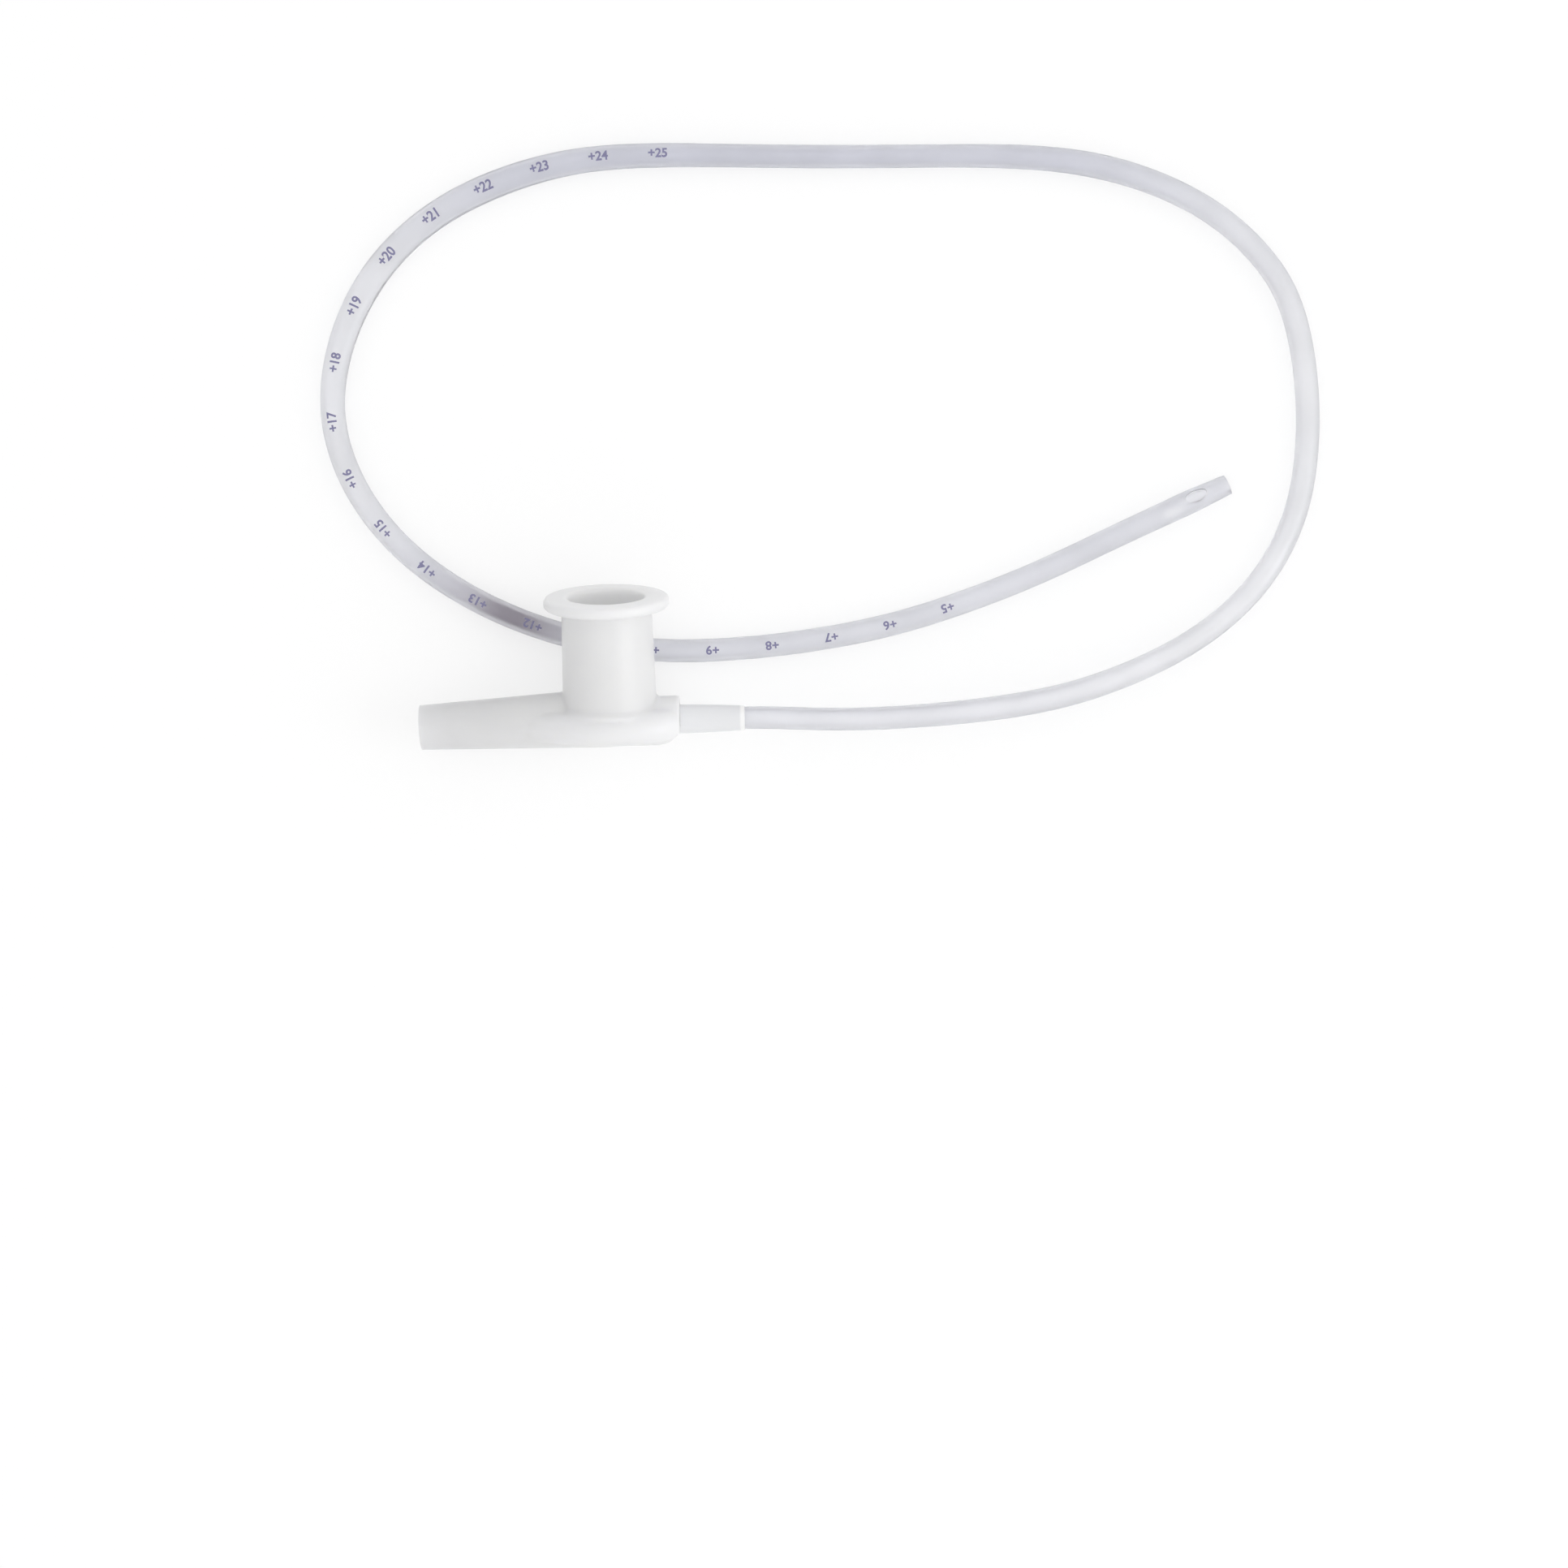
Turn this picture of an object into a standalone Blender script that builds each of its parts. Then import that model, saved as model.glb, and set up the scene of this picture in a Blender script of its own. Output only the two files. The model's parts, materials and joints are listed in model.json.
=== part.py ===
"""Suction catheter: a moulded connector with a thumb port, and the clear tube that leaves its nipple.

The connector leans on the run of tube that passes under its chimney, and on the floor, z = 0.
Metres, +Z up. The origin is under the middle of the connector, and +X runs from its arm to its nose.
"""
import math

import bmesh
import bpy
import numpy as np
from mathutils import Matrix, Vector

MM = 0.001

# Tube, a size 12 catheter
TUBE_RADIUS = 2.0 * MM
LUMEN_RADIUS = 1.35 * MM
TUBE_SPACING = 10.0 * MM
TUBE_BEVEL_STEPS = 3

# Suction arm, a hollow cone that droops a little away from the body's own line
ARM_REACH = 31.1 * MM
ARM_MOUTH_RADIUS = 3.7 * MM
ARM_ROOT_RADIUS = 4.95 * MM
ARM_MOUTH_BORE = 2.7 * MM
ARM_ROOT_BORE = 3.4 * MM
ARM_DROOP = math.radians(2.05)
ARM_RISE = 0.49 * MM
ARM_MOUTH_ROUND = 0.25 * MM

# Body: a round barrel just under the line of the tube, on a wider, flatter hull with a full round rim
BARREL_RADIUS = 4.1 * MM
BARREL_DROP = 0.2 * MM
NOSE_REACH = 11.8 * MM
NOSE_ROUND = 5.5 * MM
NOSE_CORNER = math.radians(24.6)
NOSE_OVERHANG = 0.06 * MM
HULL_HALF_WIDTH = 8.88 * MM
HULL_RIM_RADIUS = 2.6 * MM
HULL_DECK_LEVEL = 2.4 * MM
HULL_BOW_REACH = 13.6 * MM
HULL_STERN_REACH = 17.0 * MM
HULL_STERN_HALF_WIDTH = 3.9 * MM
HULL_STERN_EDGE = 0.5 * MM

# Chimney and the flange round its mouth, the thumb port
PORT_SHIFT = 0.25 * MM
CHIMNEY_FOOT_RADIUS = 7.72 * MM
CHIMNEY_TOP_RADIUS = 7.42 * MM
PORT_HEIGHT = 21.0 * MM
PORT_BORE = 6.2 * MM
PORT_LIP_ROUND = 0.5 * MM
FLANGE_RADIUS = 10.32 * MM
FLANGE_THICKNESS = 1.9 * MM
FLANGE_EDGE_ROUND = 0.7 * MM
FLANGE_NECK_ROUND = 0.6 * MM
CHAMBER_FLOOR_WALL = 1.3 * MM
CHAMBER_FLOOR_ROUND = 0.8 * MM

# Nipple, and the end of the tube that is stretched over it
NIPPLE_REACH = 22.0 * MM
NIPPLE_ROOT_RADIUS = 1.75 * MM
NIPPLE_END_RADIUS = 1.25 * MM
NIPPLE_BORE = 0.9 * MM
CUFF_ROOT_RADIUS = 2.42 * MM
CUFF_WAIST_RADIUS = 2.28 * MM
CUFF_SHOULDER = 0.08 * MM
CUFF_TAIL = 0.9 * MM

# Open tip with its two side eyes
TIP_LENGTH = 14.0 * MM
TIP_END = (104.1 * MM, 37.7 * MM)
TIP_HEADING = math.radians(23.7)
TIP_EDGE_ROUND = 0.25 * MM
EYE_LENGTH = 3.8 * MM
EYE_WIDTH = 2.0 * MM
EYE_FROM_END = 5.8 * MM
EYE_SPACING = 4.2 * MM
EYE_TURN = math.radians(-18.0)

# Gaps between pieces that touch
SEAT_GAP = 0.3 * MM
NIPPLE_GAP = 0.25 * MM

ROUND_SEGMENTS = 48
SMALL_SEGMENTS = 32
ARC_STEPS = 5
SMALL_ARC_STEPS = 3
RIM_STEPS = 10
OUTLINE_STEPS = 14
ROUTE_STEPS = 20
LEAN_TRIES = 50
MOST_LEAN = math.radians(45.0)
SHARP_ANGLE = math.radians(35.0)
OVERLAP = 2.0 * MM

# The tube's route in millimetres from the foot of the chimney: along the connector, across, and
# the clear height under the tube. It leaves the nipple level, sinks to the floor, and turns back
# to pass under the chimney.
UNDER_CHIMNEY = (-0.1, 12.8, 0.0)
ROUTE_MM = [
    (37.0, -0.5, 6.5), (50.0, -0.3, 5.8), (62.9, 0.7, 4.8), (75.8, 2.8, 3.6), (88.3, 6.9, 2.4),
    (100.0, 13.1, 1.3), (109.6, 22.0, 0.5), (115.6, 33.5, 0.1), (117.7, 46.4, 0.0),
    (117.1, 59.4, 0.0), (113.3, 71.8, 0.0), (109.4, 77.1, 0.0), (104.7, 81.6, 0.0),
    (93.5, 88.2, 0.0), (81.0, 92.0, 0.0), (68.0, 93.4, 0.0), (48.4, 93.8, 0.0),
    (28.8, 94.2, 0.0), (9.3, 94.7, 0.0), (-3.8, 94.0, 0.0), (-16.4, 90.9, 0.0),
    (-28.1, 85.2, 0.0), (-37.7, 76.3, 0.0), (-43.8, 64.8, 0.0), (-45.6, 52.0, 0.0),
    (-41.8, 39.5, 0.0), (-33.9, 29.2, 0.0), (-23.4, 21.4, 0.0), (-11.5, 15.9, 0.0),
    UNDER_CHIMNEY, (9.1, 11.7, 0.0), (22.1, 11.8, 0.0), (35.1, 13.1, 0.0),
    (48.0, 15.5, 0.0), (60.5, 19.2, 0.0), (72.7, 23.8, 0.0), (84.6, 29.1, 0.0),
]

# Worked out from the sizes above
HULL_RIM_LEVEL = HULL_DECK_LEVEL - HULL_RIM_RADIUS
CHAMBER_FLOOR = HULL_RIM_LEVEL - HULL_RIM_RADIUS + CHAMBER_FLOOR_WALL
FLANGE_UNDERSIDE = PORT_HEIGHT - FLANGE_THICKNESS
CUFF_START = NOSE_REACH + SEAT_GAP
CUFF_END = NIPPLE_REACH + CUFF_TAIL
NOSE_BOTTOM = -BARREL_DROP - BARREL_RADIUS - NOSE_OVERHANG
NOSE_ROUND_START = NOSE_REACH - NOSE_ROUND * math.cos(NOSE_CORNER)


def clear_scene():
    """Empty the scene."""
    for item in list(bpy.data.objects):
        bpy.data.objects.remove(item, do_unlink=True)


def plastic(name, colour, roughness, transmission):
    """A Principled plastic."""
    material = bpy.data.materials.new(name)
    material.use_nodes = True
    shader = material.node_tree.nodes["Principled BSDF"]
    shader.inputs["Base Color"].default_value = (*colour, 1.0)
    shader.inputs["Roughness"].default_value = roughness
    shader.inputs["Metallic"].default_value = 0.0
    shader.inputs["Transmission Weight"].default_value = transmission
    shader.inputs["IOR"].default_value = 1.5
    return material


def make_object(name, mesh_data, material=None):
    """Put finished mesh data in the scene, shaded smooth apart from its real edges."""
    mesh_data.shade_smooth()
    mesh_data.set_sharp_from_angle(angle=SHARP_ANGLE)
    item = bpy.data.objects.new(name, mesh_data)
    bpy.context.collection.objects.link(item)
    if material:
        mesh_data.materials.append(material)
    return item


def mesh_from(builder, name):
    """Clean a bmesh, point its faces out and turn it into mesh data."""
    bmesh.ops.remove_doubles(builder, verts=builder.verts, dist=1e-7)
    bmesh.ops.recalc_face_normals(builder, faces=builder.faces)
    mesh_data = bpy.data.meshes.new(name)
    builder.to_mesh(mesh_data)
    builder.free()
    return mesh_data


def arc(centre, radius, start_degrees, end_degrees, steps=ARC_STEPS):
    """Points of an arc in a plane, its ends included."""
    turns = [math.radians(start_degrees + (end_degrees - start_degrees) * i / steps)
             for i in range(steps + 1)]
    return [(centre[0] + radius * math.cos(t), centre[1] + radius * math.sin(t)) for t in turns]


def turned(name, outline, segments, closed=False):
    """Turn an outline of (place along the axis, radius) about +X. A closed outline gives a ring."""
    builder = bmesh.new()
    corners = [builder.verts.new((along, 0.0, radius)) for along, radius in outline]
    pairs = list(zip(corners, corners[1:]))
    if closed:
        pairs.append((corners[-1], corners[0]))
    edges = [builder.edges.new(pair) for pair in pairs]
    bmesh.ops.spin(builder, geom=corners + edges, cent=(0, 0, 0), axis=(1, 0, 0),
                   angle=2 * math.pi, steps=segments, use_merge=True)
    return mesh_from(builder, name)


def prism(name, outline, half_depth):
    """Extrude an outline in X and Y to both sides along Z."""
    builder = bmesh.new()
    face = builder.faces.new([builder.verts.new((x, y, -half_depth)) for x, y in outline])
    raised = bmesh.ops.extrude_face_region(builder, geom=[face])["geom"]
    bmesh.ops.translate(builder, vec=(0, 0, 2 * half_depth),
                        verts=[item for item in raised if isinstance(item, bmesh.types.BMVert)])
    return mesh_from(builder, name)


def as_guide(item):
    """Mark an object that only shapes another."""
    item.hide_render = True
    item.display_type = "WIRE"
    return item


def combine(target, operand, operation):
    """Add a live Boolean of a guide object to a piece."""
    boolean = target.modifiers.new(operand.name, "BOOLEAN")
    boolean.operation = operation
    boolean.solver = "EXACT"
    boolean.object = as_guide(operand)


def hull_outline(inset):
    """Plan of the hull: an elliptic bow towards the nose, and a stern that fades into the arm."""
    width = HULL_HALF_WIDTH - inset
    stern_width = max(HULL_STERN_HALF_WIDTH - inset, HULL_STERN_EDGE)
    bow = HULL_BOW_REACH - inset
    side = []
    for step in range(OUTLINE_STEPS):
        share = 1 - step / OUTLINE_STEPS
        swell = (1 + math.cos(math.pi * share)) / 2
        side.append((-HULL_STERN_REACH * share, stern_width + (width - stern_width) * swell))
    side += [(bow * math.sin(t), width * math.cos(t))
             for t in (math.pi / 2 * i / OUTLINE_STEPS for i in range(OUTLINE_STEPS))]
    return side + [(bow, 0.0)] + [(x, -z) for x, z in reversed(side)]


def hull_mesh():
    """The hull as outlines that follow the half-circle of its rim, bridged and capped."""
    builder = bmesh.new()
    rings = []
    for step in range(RIM_STEPS + 1):
        turn = math.pi * (step / RIM_STEPS - 0.5)
        inset = HULL_RIM_RADIUS * (1 - math.cos(turn))
        level = HULL_RIM_LEVEL + HULL_RIM_RADIUS * math.sin(turn)
        corners = [builder.verts.new((x, level, z)) for x, z in hull_outline(inset)]
        rings.append([builder.edges.new(pair) for pair in zip(corners, corners[1:] + corners[:1])])
    for lower, upper in zip(rings, rings[1:]):
        bmesh.ops.bridge_loops(builder, edges=lower + upper)
    bmesh.ops.holes_fill(builder, edges=rings[0] + rings[-1])
    return mesh_from(builder, "hull")


def nose_cutter_mesh():
    """Squares off the nose and rounds it away below, down to the level of the barrel's underside."""
    beyond = NOSE_REACH + HULL_BOW_REACH
    outline = arc((NOSE_ROUND_START, NOSE_BOTTOM + NOSE_ROUND), NOSE_ROUND, -math.degrees(NOSE_CORNER), -90)
    outline += [(NOSE_ROUND_START, NOSE_BOTTOM - OVERLAP), (beyond, NOSE_BOTTOM - OVERLAP),
                (beyond, PORT_HEIGHT), (NOSE_REACH, PORT_HEIGHT)]
    return prism("nose_cutter", outline, 2 * HULL_HALF_WIDTH)


def chimney_mesh():
    """The chimney and its flange, turned as one solid about +X."""
    underside, top, edge = FLANGE_UNDERSIDE, PORT_HEIGHT, FLANGE_EDGE_ROUND
    neck = FLANGE_NECK_ROUND
    outline = [(CHAMBER_FLOOR, 0.0), (CHAMBER_FLOOR, CHIMNEY_FOOT_RADIUS),
               (HULL_DECK_LEVEL, CHIMNEY_FOOT_RADIUS)]
    outline += arc((underside - neck, CHIMNEY_TOP_RADIUS + neck), neck, -90, 0)
    outline += arc((underside + edge, FLANGE_RADIUS - edge), edge, 180, 90)
    outline += arc((top - edge, FLANGE_RADIUS - edge), edge, 90, 0)
    outline += [(top, 0.0)]
    return turned("chimney", outline, ROUND_SEGMENTS)


def port_bore_mesh():
    """The hollow of the chimney down to the chamber floor, with a rounded lip."""
    lip, corner = PORT_LIP_ROUND, CHAMBER_FLOOR_ROUND
    outline = [(PORT_HEIGHT + OVERLAP, 0.0), (PORT_HEIGHT + OVERLAP, PORT_BORE + lip)]
    outline += arc((PORT_HEIGHT - lip, PORT_BORE + lip), lip, 0, -90)
    outline += arc((CHAMBER_FLOOR + corner, PORT_BORE - corner), corner, 90, 180)
    outline += [(CHAMBER_FLOOR, 0.0)]
    return turned("port_bore", outline, ROUND_SEGMENTS)


def arm_mesh():
    """The arm as a cone from its mouth, at -X, to the chimney's axis."""
    edge = ARM_MOUTH_ROUND
    outline = [(-ARM_REACH, 0.0)]
    outline += arc((-ARM_REACH + edge, ARM_MOUTH_RADIUS - edge), edge, 180, 90, SMALL_ARC_STEPS)
    outline += [(0.0, ARM_ROOT_RADIUS), (0.0, 0.0)]
    return turned("arm", outline, SMALL_SEGMENTS)


def arm_bore_mesh():
    """The arm's tapered bore, from its mouth to the chamber."""
    slope = (ARM_ROOT_BORE - ARM_MOUTH_BORE) / ARM_REACH
    outline = [(-ARM_REACH - OVERLAP, 0.0), (-ARM_REACH - OVERLAP, ARM_MOUTH_BORE - slope * OVERLAP),
               (-PORT_BORE / 2, ARM_ROOT_BORE - slope * PORT_BORE / 2), (-PORT_BORE / 2, 0.0)]
    return turned("arm_bore", outline, SMALL_SEGMENTS)


def nipple_mesh():
    """The nipple as a cone that starts inside the nose."""
    edge = (NIPPLE_END_RADIUS - NIPPLE_BORE) / 2
    outline = [(NOSE_REACH - OVERLAP, 0.0), (NOSE_REACH - OVERLAP, NIPPLE_ROOT_RADIUS)]
    outline += [(NOSE_REACH, NIPPLE_ROOT_RADIUS)]
    outline += arc((NIPPLE_REACH - edge, NIPPLE_END_RADIUS - edge), edge, 90, 0, SMALL_ARC_STEPS)
    outline += [(NIPPLE_REACH, 0.0)]
    return turned("nipple", outline, SMALL_SEGMENTS)


def nipple_bore_mesh():
    """The straight bore from the chamber out through the nipple."""
    outline = [(PORT_BORE / 2, 0.0), (PORT_BORE / 2, NIPPLE_BORE),
               (NIPPLE_REACH + OVERLAP, NIPPLE_BORE), (NIPPLE_REACH + OVERLAP, 0.0)]
    return turned("nipple_bore", outline, SMALL_SEGMENTS // 2)


def make_connector(material):
    """One moulding: hull, barrel, arm, chimney and nipple, hollowed by three bores."""
    connector = make_object("connector", hull_mesh(), material)
    barrel = turned("barrel", [(0.0, 0.0), (0.0, BARREL_RADIUS), (HULL_BOW_REACH, BARREL_RADIUS),
                               (HULL_BOW_REACH, 0.0)], SMALL_SEGMENTS)
    upright = Matrix.Translation((PORT_SHIFT, 0, 0)) @ Matrix.Rotation(math.pi / 2, 4, "Z")
    drooping = Matrix.Translation((0, ARM_RISE, 0)) @ Matrix.Rotation(ARM_DROOP, 4, "Z")
    steps = [
        (barrel, "UNION", Matrix.Translation((0, -BARREL_DROP, 0))),
        (nose_cutter_mesh(), "DIFFERENCE", Matrix()),
        (arm_mesh(), "UNION", drooping),
        (chimney_mesh(), "UNION", upright),
        (nipple_mesh(), "UNION", Matrix()),
        (port_bore_mesh(), "DIFFERENCE", upright),
        (arm_bore_mesh(), "DIFFERENCE", drooping),
        (nipple_bore_mesh(), "DIFFERENCE", Matrix()),
    ]
    for mesh_data, operation, placing in steps:
        mesh_data.transform(placing)
        guide = make_object(mesh_data.name + "_guide", mesh_data)
        guide.parent = connector
        combine(connector, guide, operation)
    return connector


def make_cuff(material):
    """The stretched end of the tube, a hollow sleeve over the nipple."""
    middle = (CUFF_START + NIPPLE_REACH) / 2
    seat_root = NIPPLE_ROOT_RADIUS + NIPPLE_GAP
    seat_end = NIPPLE_END_RADIUS + NIPPLE_GAP
    step = NIPPLE_REACH + NIPPLE_GAP
    outline = [(CUFF_START, seat_root), (CUFF_START, CUFF_ROOT_RADIUS), (middle, CUFF_WAIST_RADIUS),
               (NIPPLE_REACH, TUBE_RADIUS + CUFF_SHOULDER), (step, TUBE_RADIUS + CUFF_SHOULDER),
               (step + 2 * CUFF_SHOULDER, TUBE_RADIUS), (CUFF_END, TUBE_RADIUS),
               (CUFF_END, LUMEN_RADIUS), (step, LUMEN_RADIUS), (step, seat_end)]
    return make_object("tube_cuff", turned("tube_cuff", outline, SMALL_SEGMENTS, True), material)


def lean_and_height():
    """Lean of the connector about X and height of its line, touching both the floor and the tube."""
    rim_reach = HULL_HALF_WIDTH - HULL_RIM_RADIUS
    taper = (CHIMNEY_FOOT_RADIUS - CHIMNEY_TOP_RADIUS) / (FLANGE_UNDERSIDE - HULL_DECK_LEVEL)
    across = UNDER_CHIMNEY[1] * MM
    low, high = 0.0, MOST_LEAN
    for _ in range(LEAN_TRIES):
        lean = (low + high) / 2
        height = rim_reach * math.cos(lean) - HULL_RIM_LEVEL * math.sin(lean) + HULL_RIM_RADIUS
        drop = height - TUBE_RADIUS
        level = across * math.cos(lean) - drop * math.sin(lean)
        clear = across * math.sin(lean) + drop * math.cos(lean)
        wall = CHIMNEY_FOOT_RADIUS - taper * (level - HULL_DECK_LEVEL)
        if clear < wall + TUBE_RADIUS + SEAT_GAP:
            low = lean
        else:
            high = lean
    return lean, height


def smooth_route(points, start_way, end_way, spacing):
    """Points at an even spacing along the smooth curve through the route's own points."""
    knots = np.array(points)
    steps = np.diff(knots, axis=0)
    spans = np.linalg.norm(steps, axis=1)
    count = len(knots)
    weights = np.zeros((count, count))
    pulls = np.zeros((count, 3))
    weights[0, 0] = weights[-1, -1] = 1.0
    pulls[0], pulls[-1] = start_way, end_way
    for i in range(1, count - 1):
        weights[i, i - 1:i + 2] = (1 / spans[i - 1], 2 / spans[i - 1] + 2 / spans[i], 1 / spans[i])
        pulls[i] = 3 * (steps[i - 1] / spans[i - 1] ** 2 + steps[i] / spans[i] ** 2)
    slopes = np.linalg.solve(weights, pulls)
    fine = []
    for i in range(count - 1):
        for t in np.linspace(0, 1, ROUTE_STEPS, endpoint=i == count - 2):
            rise = spans[i] * ((t - 2 * t ** 2 + t ** 3) * slopes[i] + (t ** 3 - t ** 2) * slopes[i + 1])
            fine.append(knots[i] + (3 * t ** 2 - 2 * t ** 3) * steps[i] + rise)
    fine = np.array(fine)
    reach = np.concatenate([[0], np.cumsum(np.linalg.norm(np.diff(fine, axis=0), axis=1))])
    places = np.linspace(0, reach[-1], round(reach[-1] / spacing) + 1)
    return np.stack([np.interp(places, reach, fine[:, axis]) for axis in range(3)], axis=1)


def make_tube(material, line_height):
    """The free tube, from the end of the cuff to the start of the tip."""
    end_way = np.array((math.cos(TIP_HEADING), math.sin(TIP_HEADING), 0.0))
    tip_end = np.array((*TIP_END, TUBE_RADIUS))
    route = [(CUFF_END + SEAT_GAP, 0.0, line_height)]
    route += [(x * MM, y * MM, lift * MM + TUBE_RADIUS) for x, y, lift in ROUTE_MM]
    route.append(tuple(tip_end - (TIP_LENGTH + SEAT_GAP) * end_way))
    points = smooth_route(route, (1.0, 0.0, 0.0), end_way, TUBE_SPACING)
    curve = bpy.data.curves.new("catheter_tube", "CURVE")
    curve.dimensions = "3D"
    spline = curve.splines.new("POLY")
    spline.points.add(len(points) - 1)
    for place, point in zip(spline.points, points):
        place.co = (*point, 1.0)
    curve.bevel_depth = TUBE_RADIUS
    curve.bevel_resolution = TUBE_BEVEL_STEPS
    curve.use_fill_caps = True
    curve.materials.append(material)
    item = bpy.data.objects.new("catheter_tube", curve)
    bpy.context.collection.objects.link(item)
    return item


def eye_cutter_mesh(name):
    """An oval prism, long side along the tube, that cuts one wall of the tip."""
    outline = [(EYE_LENGTH / 2 * math.cos(t), EYE_WIDTH / 2 * math.sin(t))
               for t in (2 * math.pi * i / SMALL_SEGMENTS for i in range(SMALL_SEGMENTS))]
    return prism(name, outline, TUBE_RADIUS / 2)


def make_tip(material):
    """The last length of the tube, hollow, with an open end and an eye in each side."""
    edge = TIP_EDGE_ROUND
    outline = [(-TIP_LENGTH, LUMEN_RADIUS), (-TIP_LENGTH, TUBE_RADIUS)]
    outline += arc((-edge, TUBE_RADIUS - edge), edge, 90, 0, SMALL_ARC_STEPS)
    outline += [(0.0, LUMEN_RADIUS)]
    tip = make_object("catheter_tip", turned("catheter_tip", outline, SMALL_SEGMENTS, True), material)
    for index in range(2):
        cutter = eye_cutter_mesh("eye_%d" % index)
        side = 1 - 2 * index
        cutter.transform(Matrix.Rotation(EYE_TURN, 4, "X")
                         @ Matrix.Translation((-EYE_FROM_END - index * EYE_SPACING, 0, side * TUBE_RADIUS)))
        guide = make_object(cutter.name + "_guide", cutter)
        guide.parent = tip
        combine(tip, guide, "DIFFERENCE")
    tip.location = (*TIP_END, TUBE_RADIUS)
    tip.rotation_euler = (0, 0, TIP_HEADING)
    return tip


def middle_of(item):
    """Middle of a piece's box on the floor, once its modifiers are worked out."""
    bpy.context.view_layer.update()
    solid = item.evaluated_get(bpy.context.evaluated_depsgraph_get())
    corners = [item.matrix_world @ Vector(vertex.co) for vertex in solid.data.vertices]
    return [(min(c[axis] for c in corners) + max(c[axis] for c in corners)) / 2 for axis in range(2)]


def main():
    """Build every piece from the chimney's foot, then move them so the connector is centred."""
    clear_scene()
    moulding = plastic("connector_plastic", (0.82, 0.82, 0.84), 0.35, 0.15)
    clear_tube = plastic("tube_plastic", (0.76, 0.77, 0.83), 0.18, 0.55)
    lean, line_height = lean_and_height()
    connector = make_connector(moulding)
    cuff = make_cuff(clear_tube)
    for item in (connector, cuff):
        item.location = (0, 0, line_height)
        item.rotation_euler = (lean, 0, 0)
    pieces = [connector, cuff, make_tube(clear_tube, line_height), make_tip(clear_tube)]
    middle = middle_of(connector)
    for item in pieces:
        item.location.x -= middle[0]
        item.location.y -= middle[1]
    bpy.context.view_layer.update()


main()
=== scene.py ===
"""Dresses the suction catheter: a milky moulded connector, clear vinyl tubing and its printed depth marks.

Everything is in metres, in the frame of the solids that it is built round.
"""
import json
import math

import bmesh
import bpy
import numpy as np
from bpy.props import FloatProperty, FloatVectorProperty, IntProperty, PointerProperty
from mathutils import Matrix, Vector


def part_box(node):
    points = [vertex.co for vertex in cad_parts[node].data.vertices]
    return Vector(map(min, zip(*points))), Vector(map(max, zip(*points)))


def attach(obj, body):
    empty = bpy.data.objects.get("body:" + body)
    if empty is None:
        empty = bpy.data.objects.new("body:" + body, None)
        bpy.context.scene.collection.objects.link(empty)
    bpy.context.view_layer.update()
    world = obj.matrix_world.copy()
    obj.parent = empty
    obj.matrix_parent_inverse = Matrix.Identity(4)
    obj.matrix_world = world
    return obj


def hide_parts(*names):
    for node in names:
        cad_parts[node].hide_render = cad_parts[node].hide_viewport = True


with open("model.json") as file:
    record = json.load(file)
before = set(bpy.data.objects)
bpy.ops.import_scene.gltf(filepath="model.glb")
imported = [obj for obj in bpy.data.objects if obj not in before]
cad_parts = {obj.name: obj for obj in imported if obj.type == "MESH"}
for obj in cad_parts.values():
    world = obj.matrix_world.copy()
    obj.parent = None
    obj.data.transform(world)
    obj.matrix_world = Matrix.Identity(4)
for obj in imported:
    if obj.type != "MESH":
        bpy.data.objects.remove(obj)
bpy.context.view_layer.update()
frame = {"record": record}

bl_info = {
    "name": "Suction Catheter",
    "version": (1, 0, 0),
    "blender": (4, 5, 0),
    "location": "View3D > Sidebar > Catheter",
    "description": "Models the connector, tubing and depth marks of a suction catheter",
    "category": "Object",
}

MM = 0.001

# The connector's own line runs along X from the chimney's axis, at the middle of the cuff
CUFF_LOW, CUFF_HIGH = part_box("tube_cuff")
CUFF_START = 12.1 * MM
PORT_AXIS = Vector(frame["record"]["mounts"][0]["axis"])
LEAN = math.atan2(PORT_AXIS.z, PORT_AXIS.y)
LINE_START = Vector((CUFF_LOW.x - CUFF_START,
                     (CUFF_LOW.y + CUFF_HIGH.y) / 2,
                     (CUFF_LOW.z + CUFF_HIGH.z) / 2))
CONNECTOR_PLACE = Matrix.Translation(LINE_START) @ Matrix.Rotation(LEAN, 4, "X")

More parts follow.
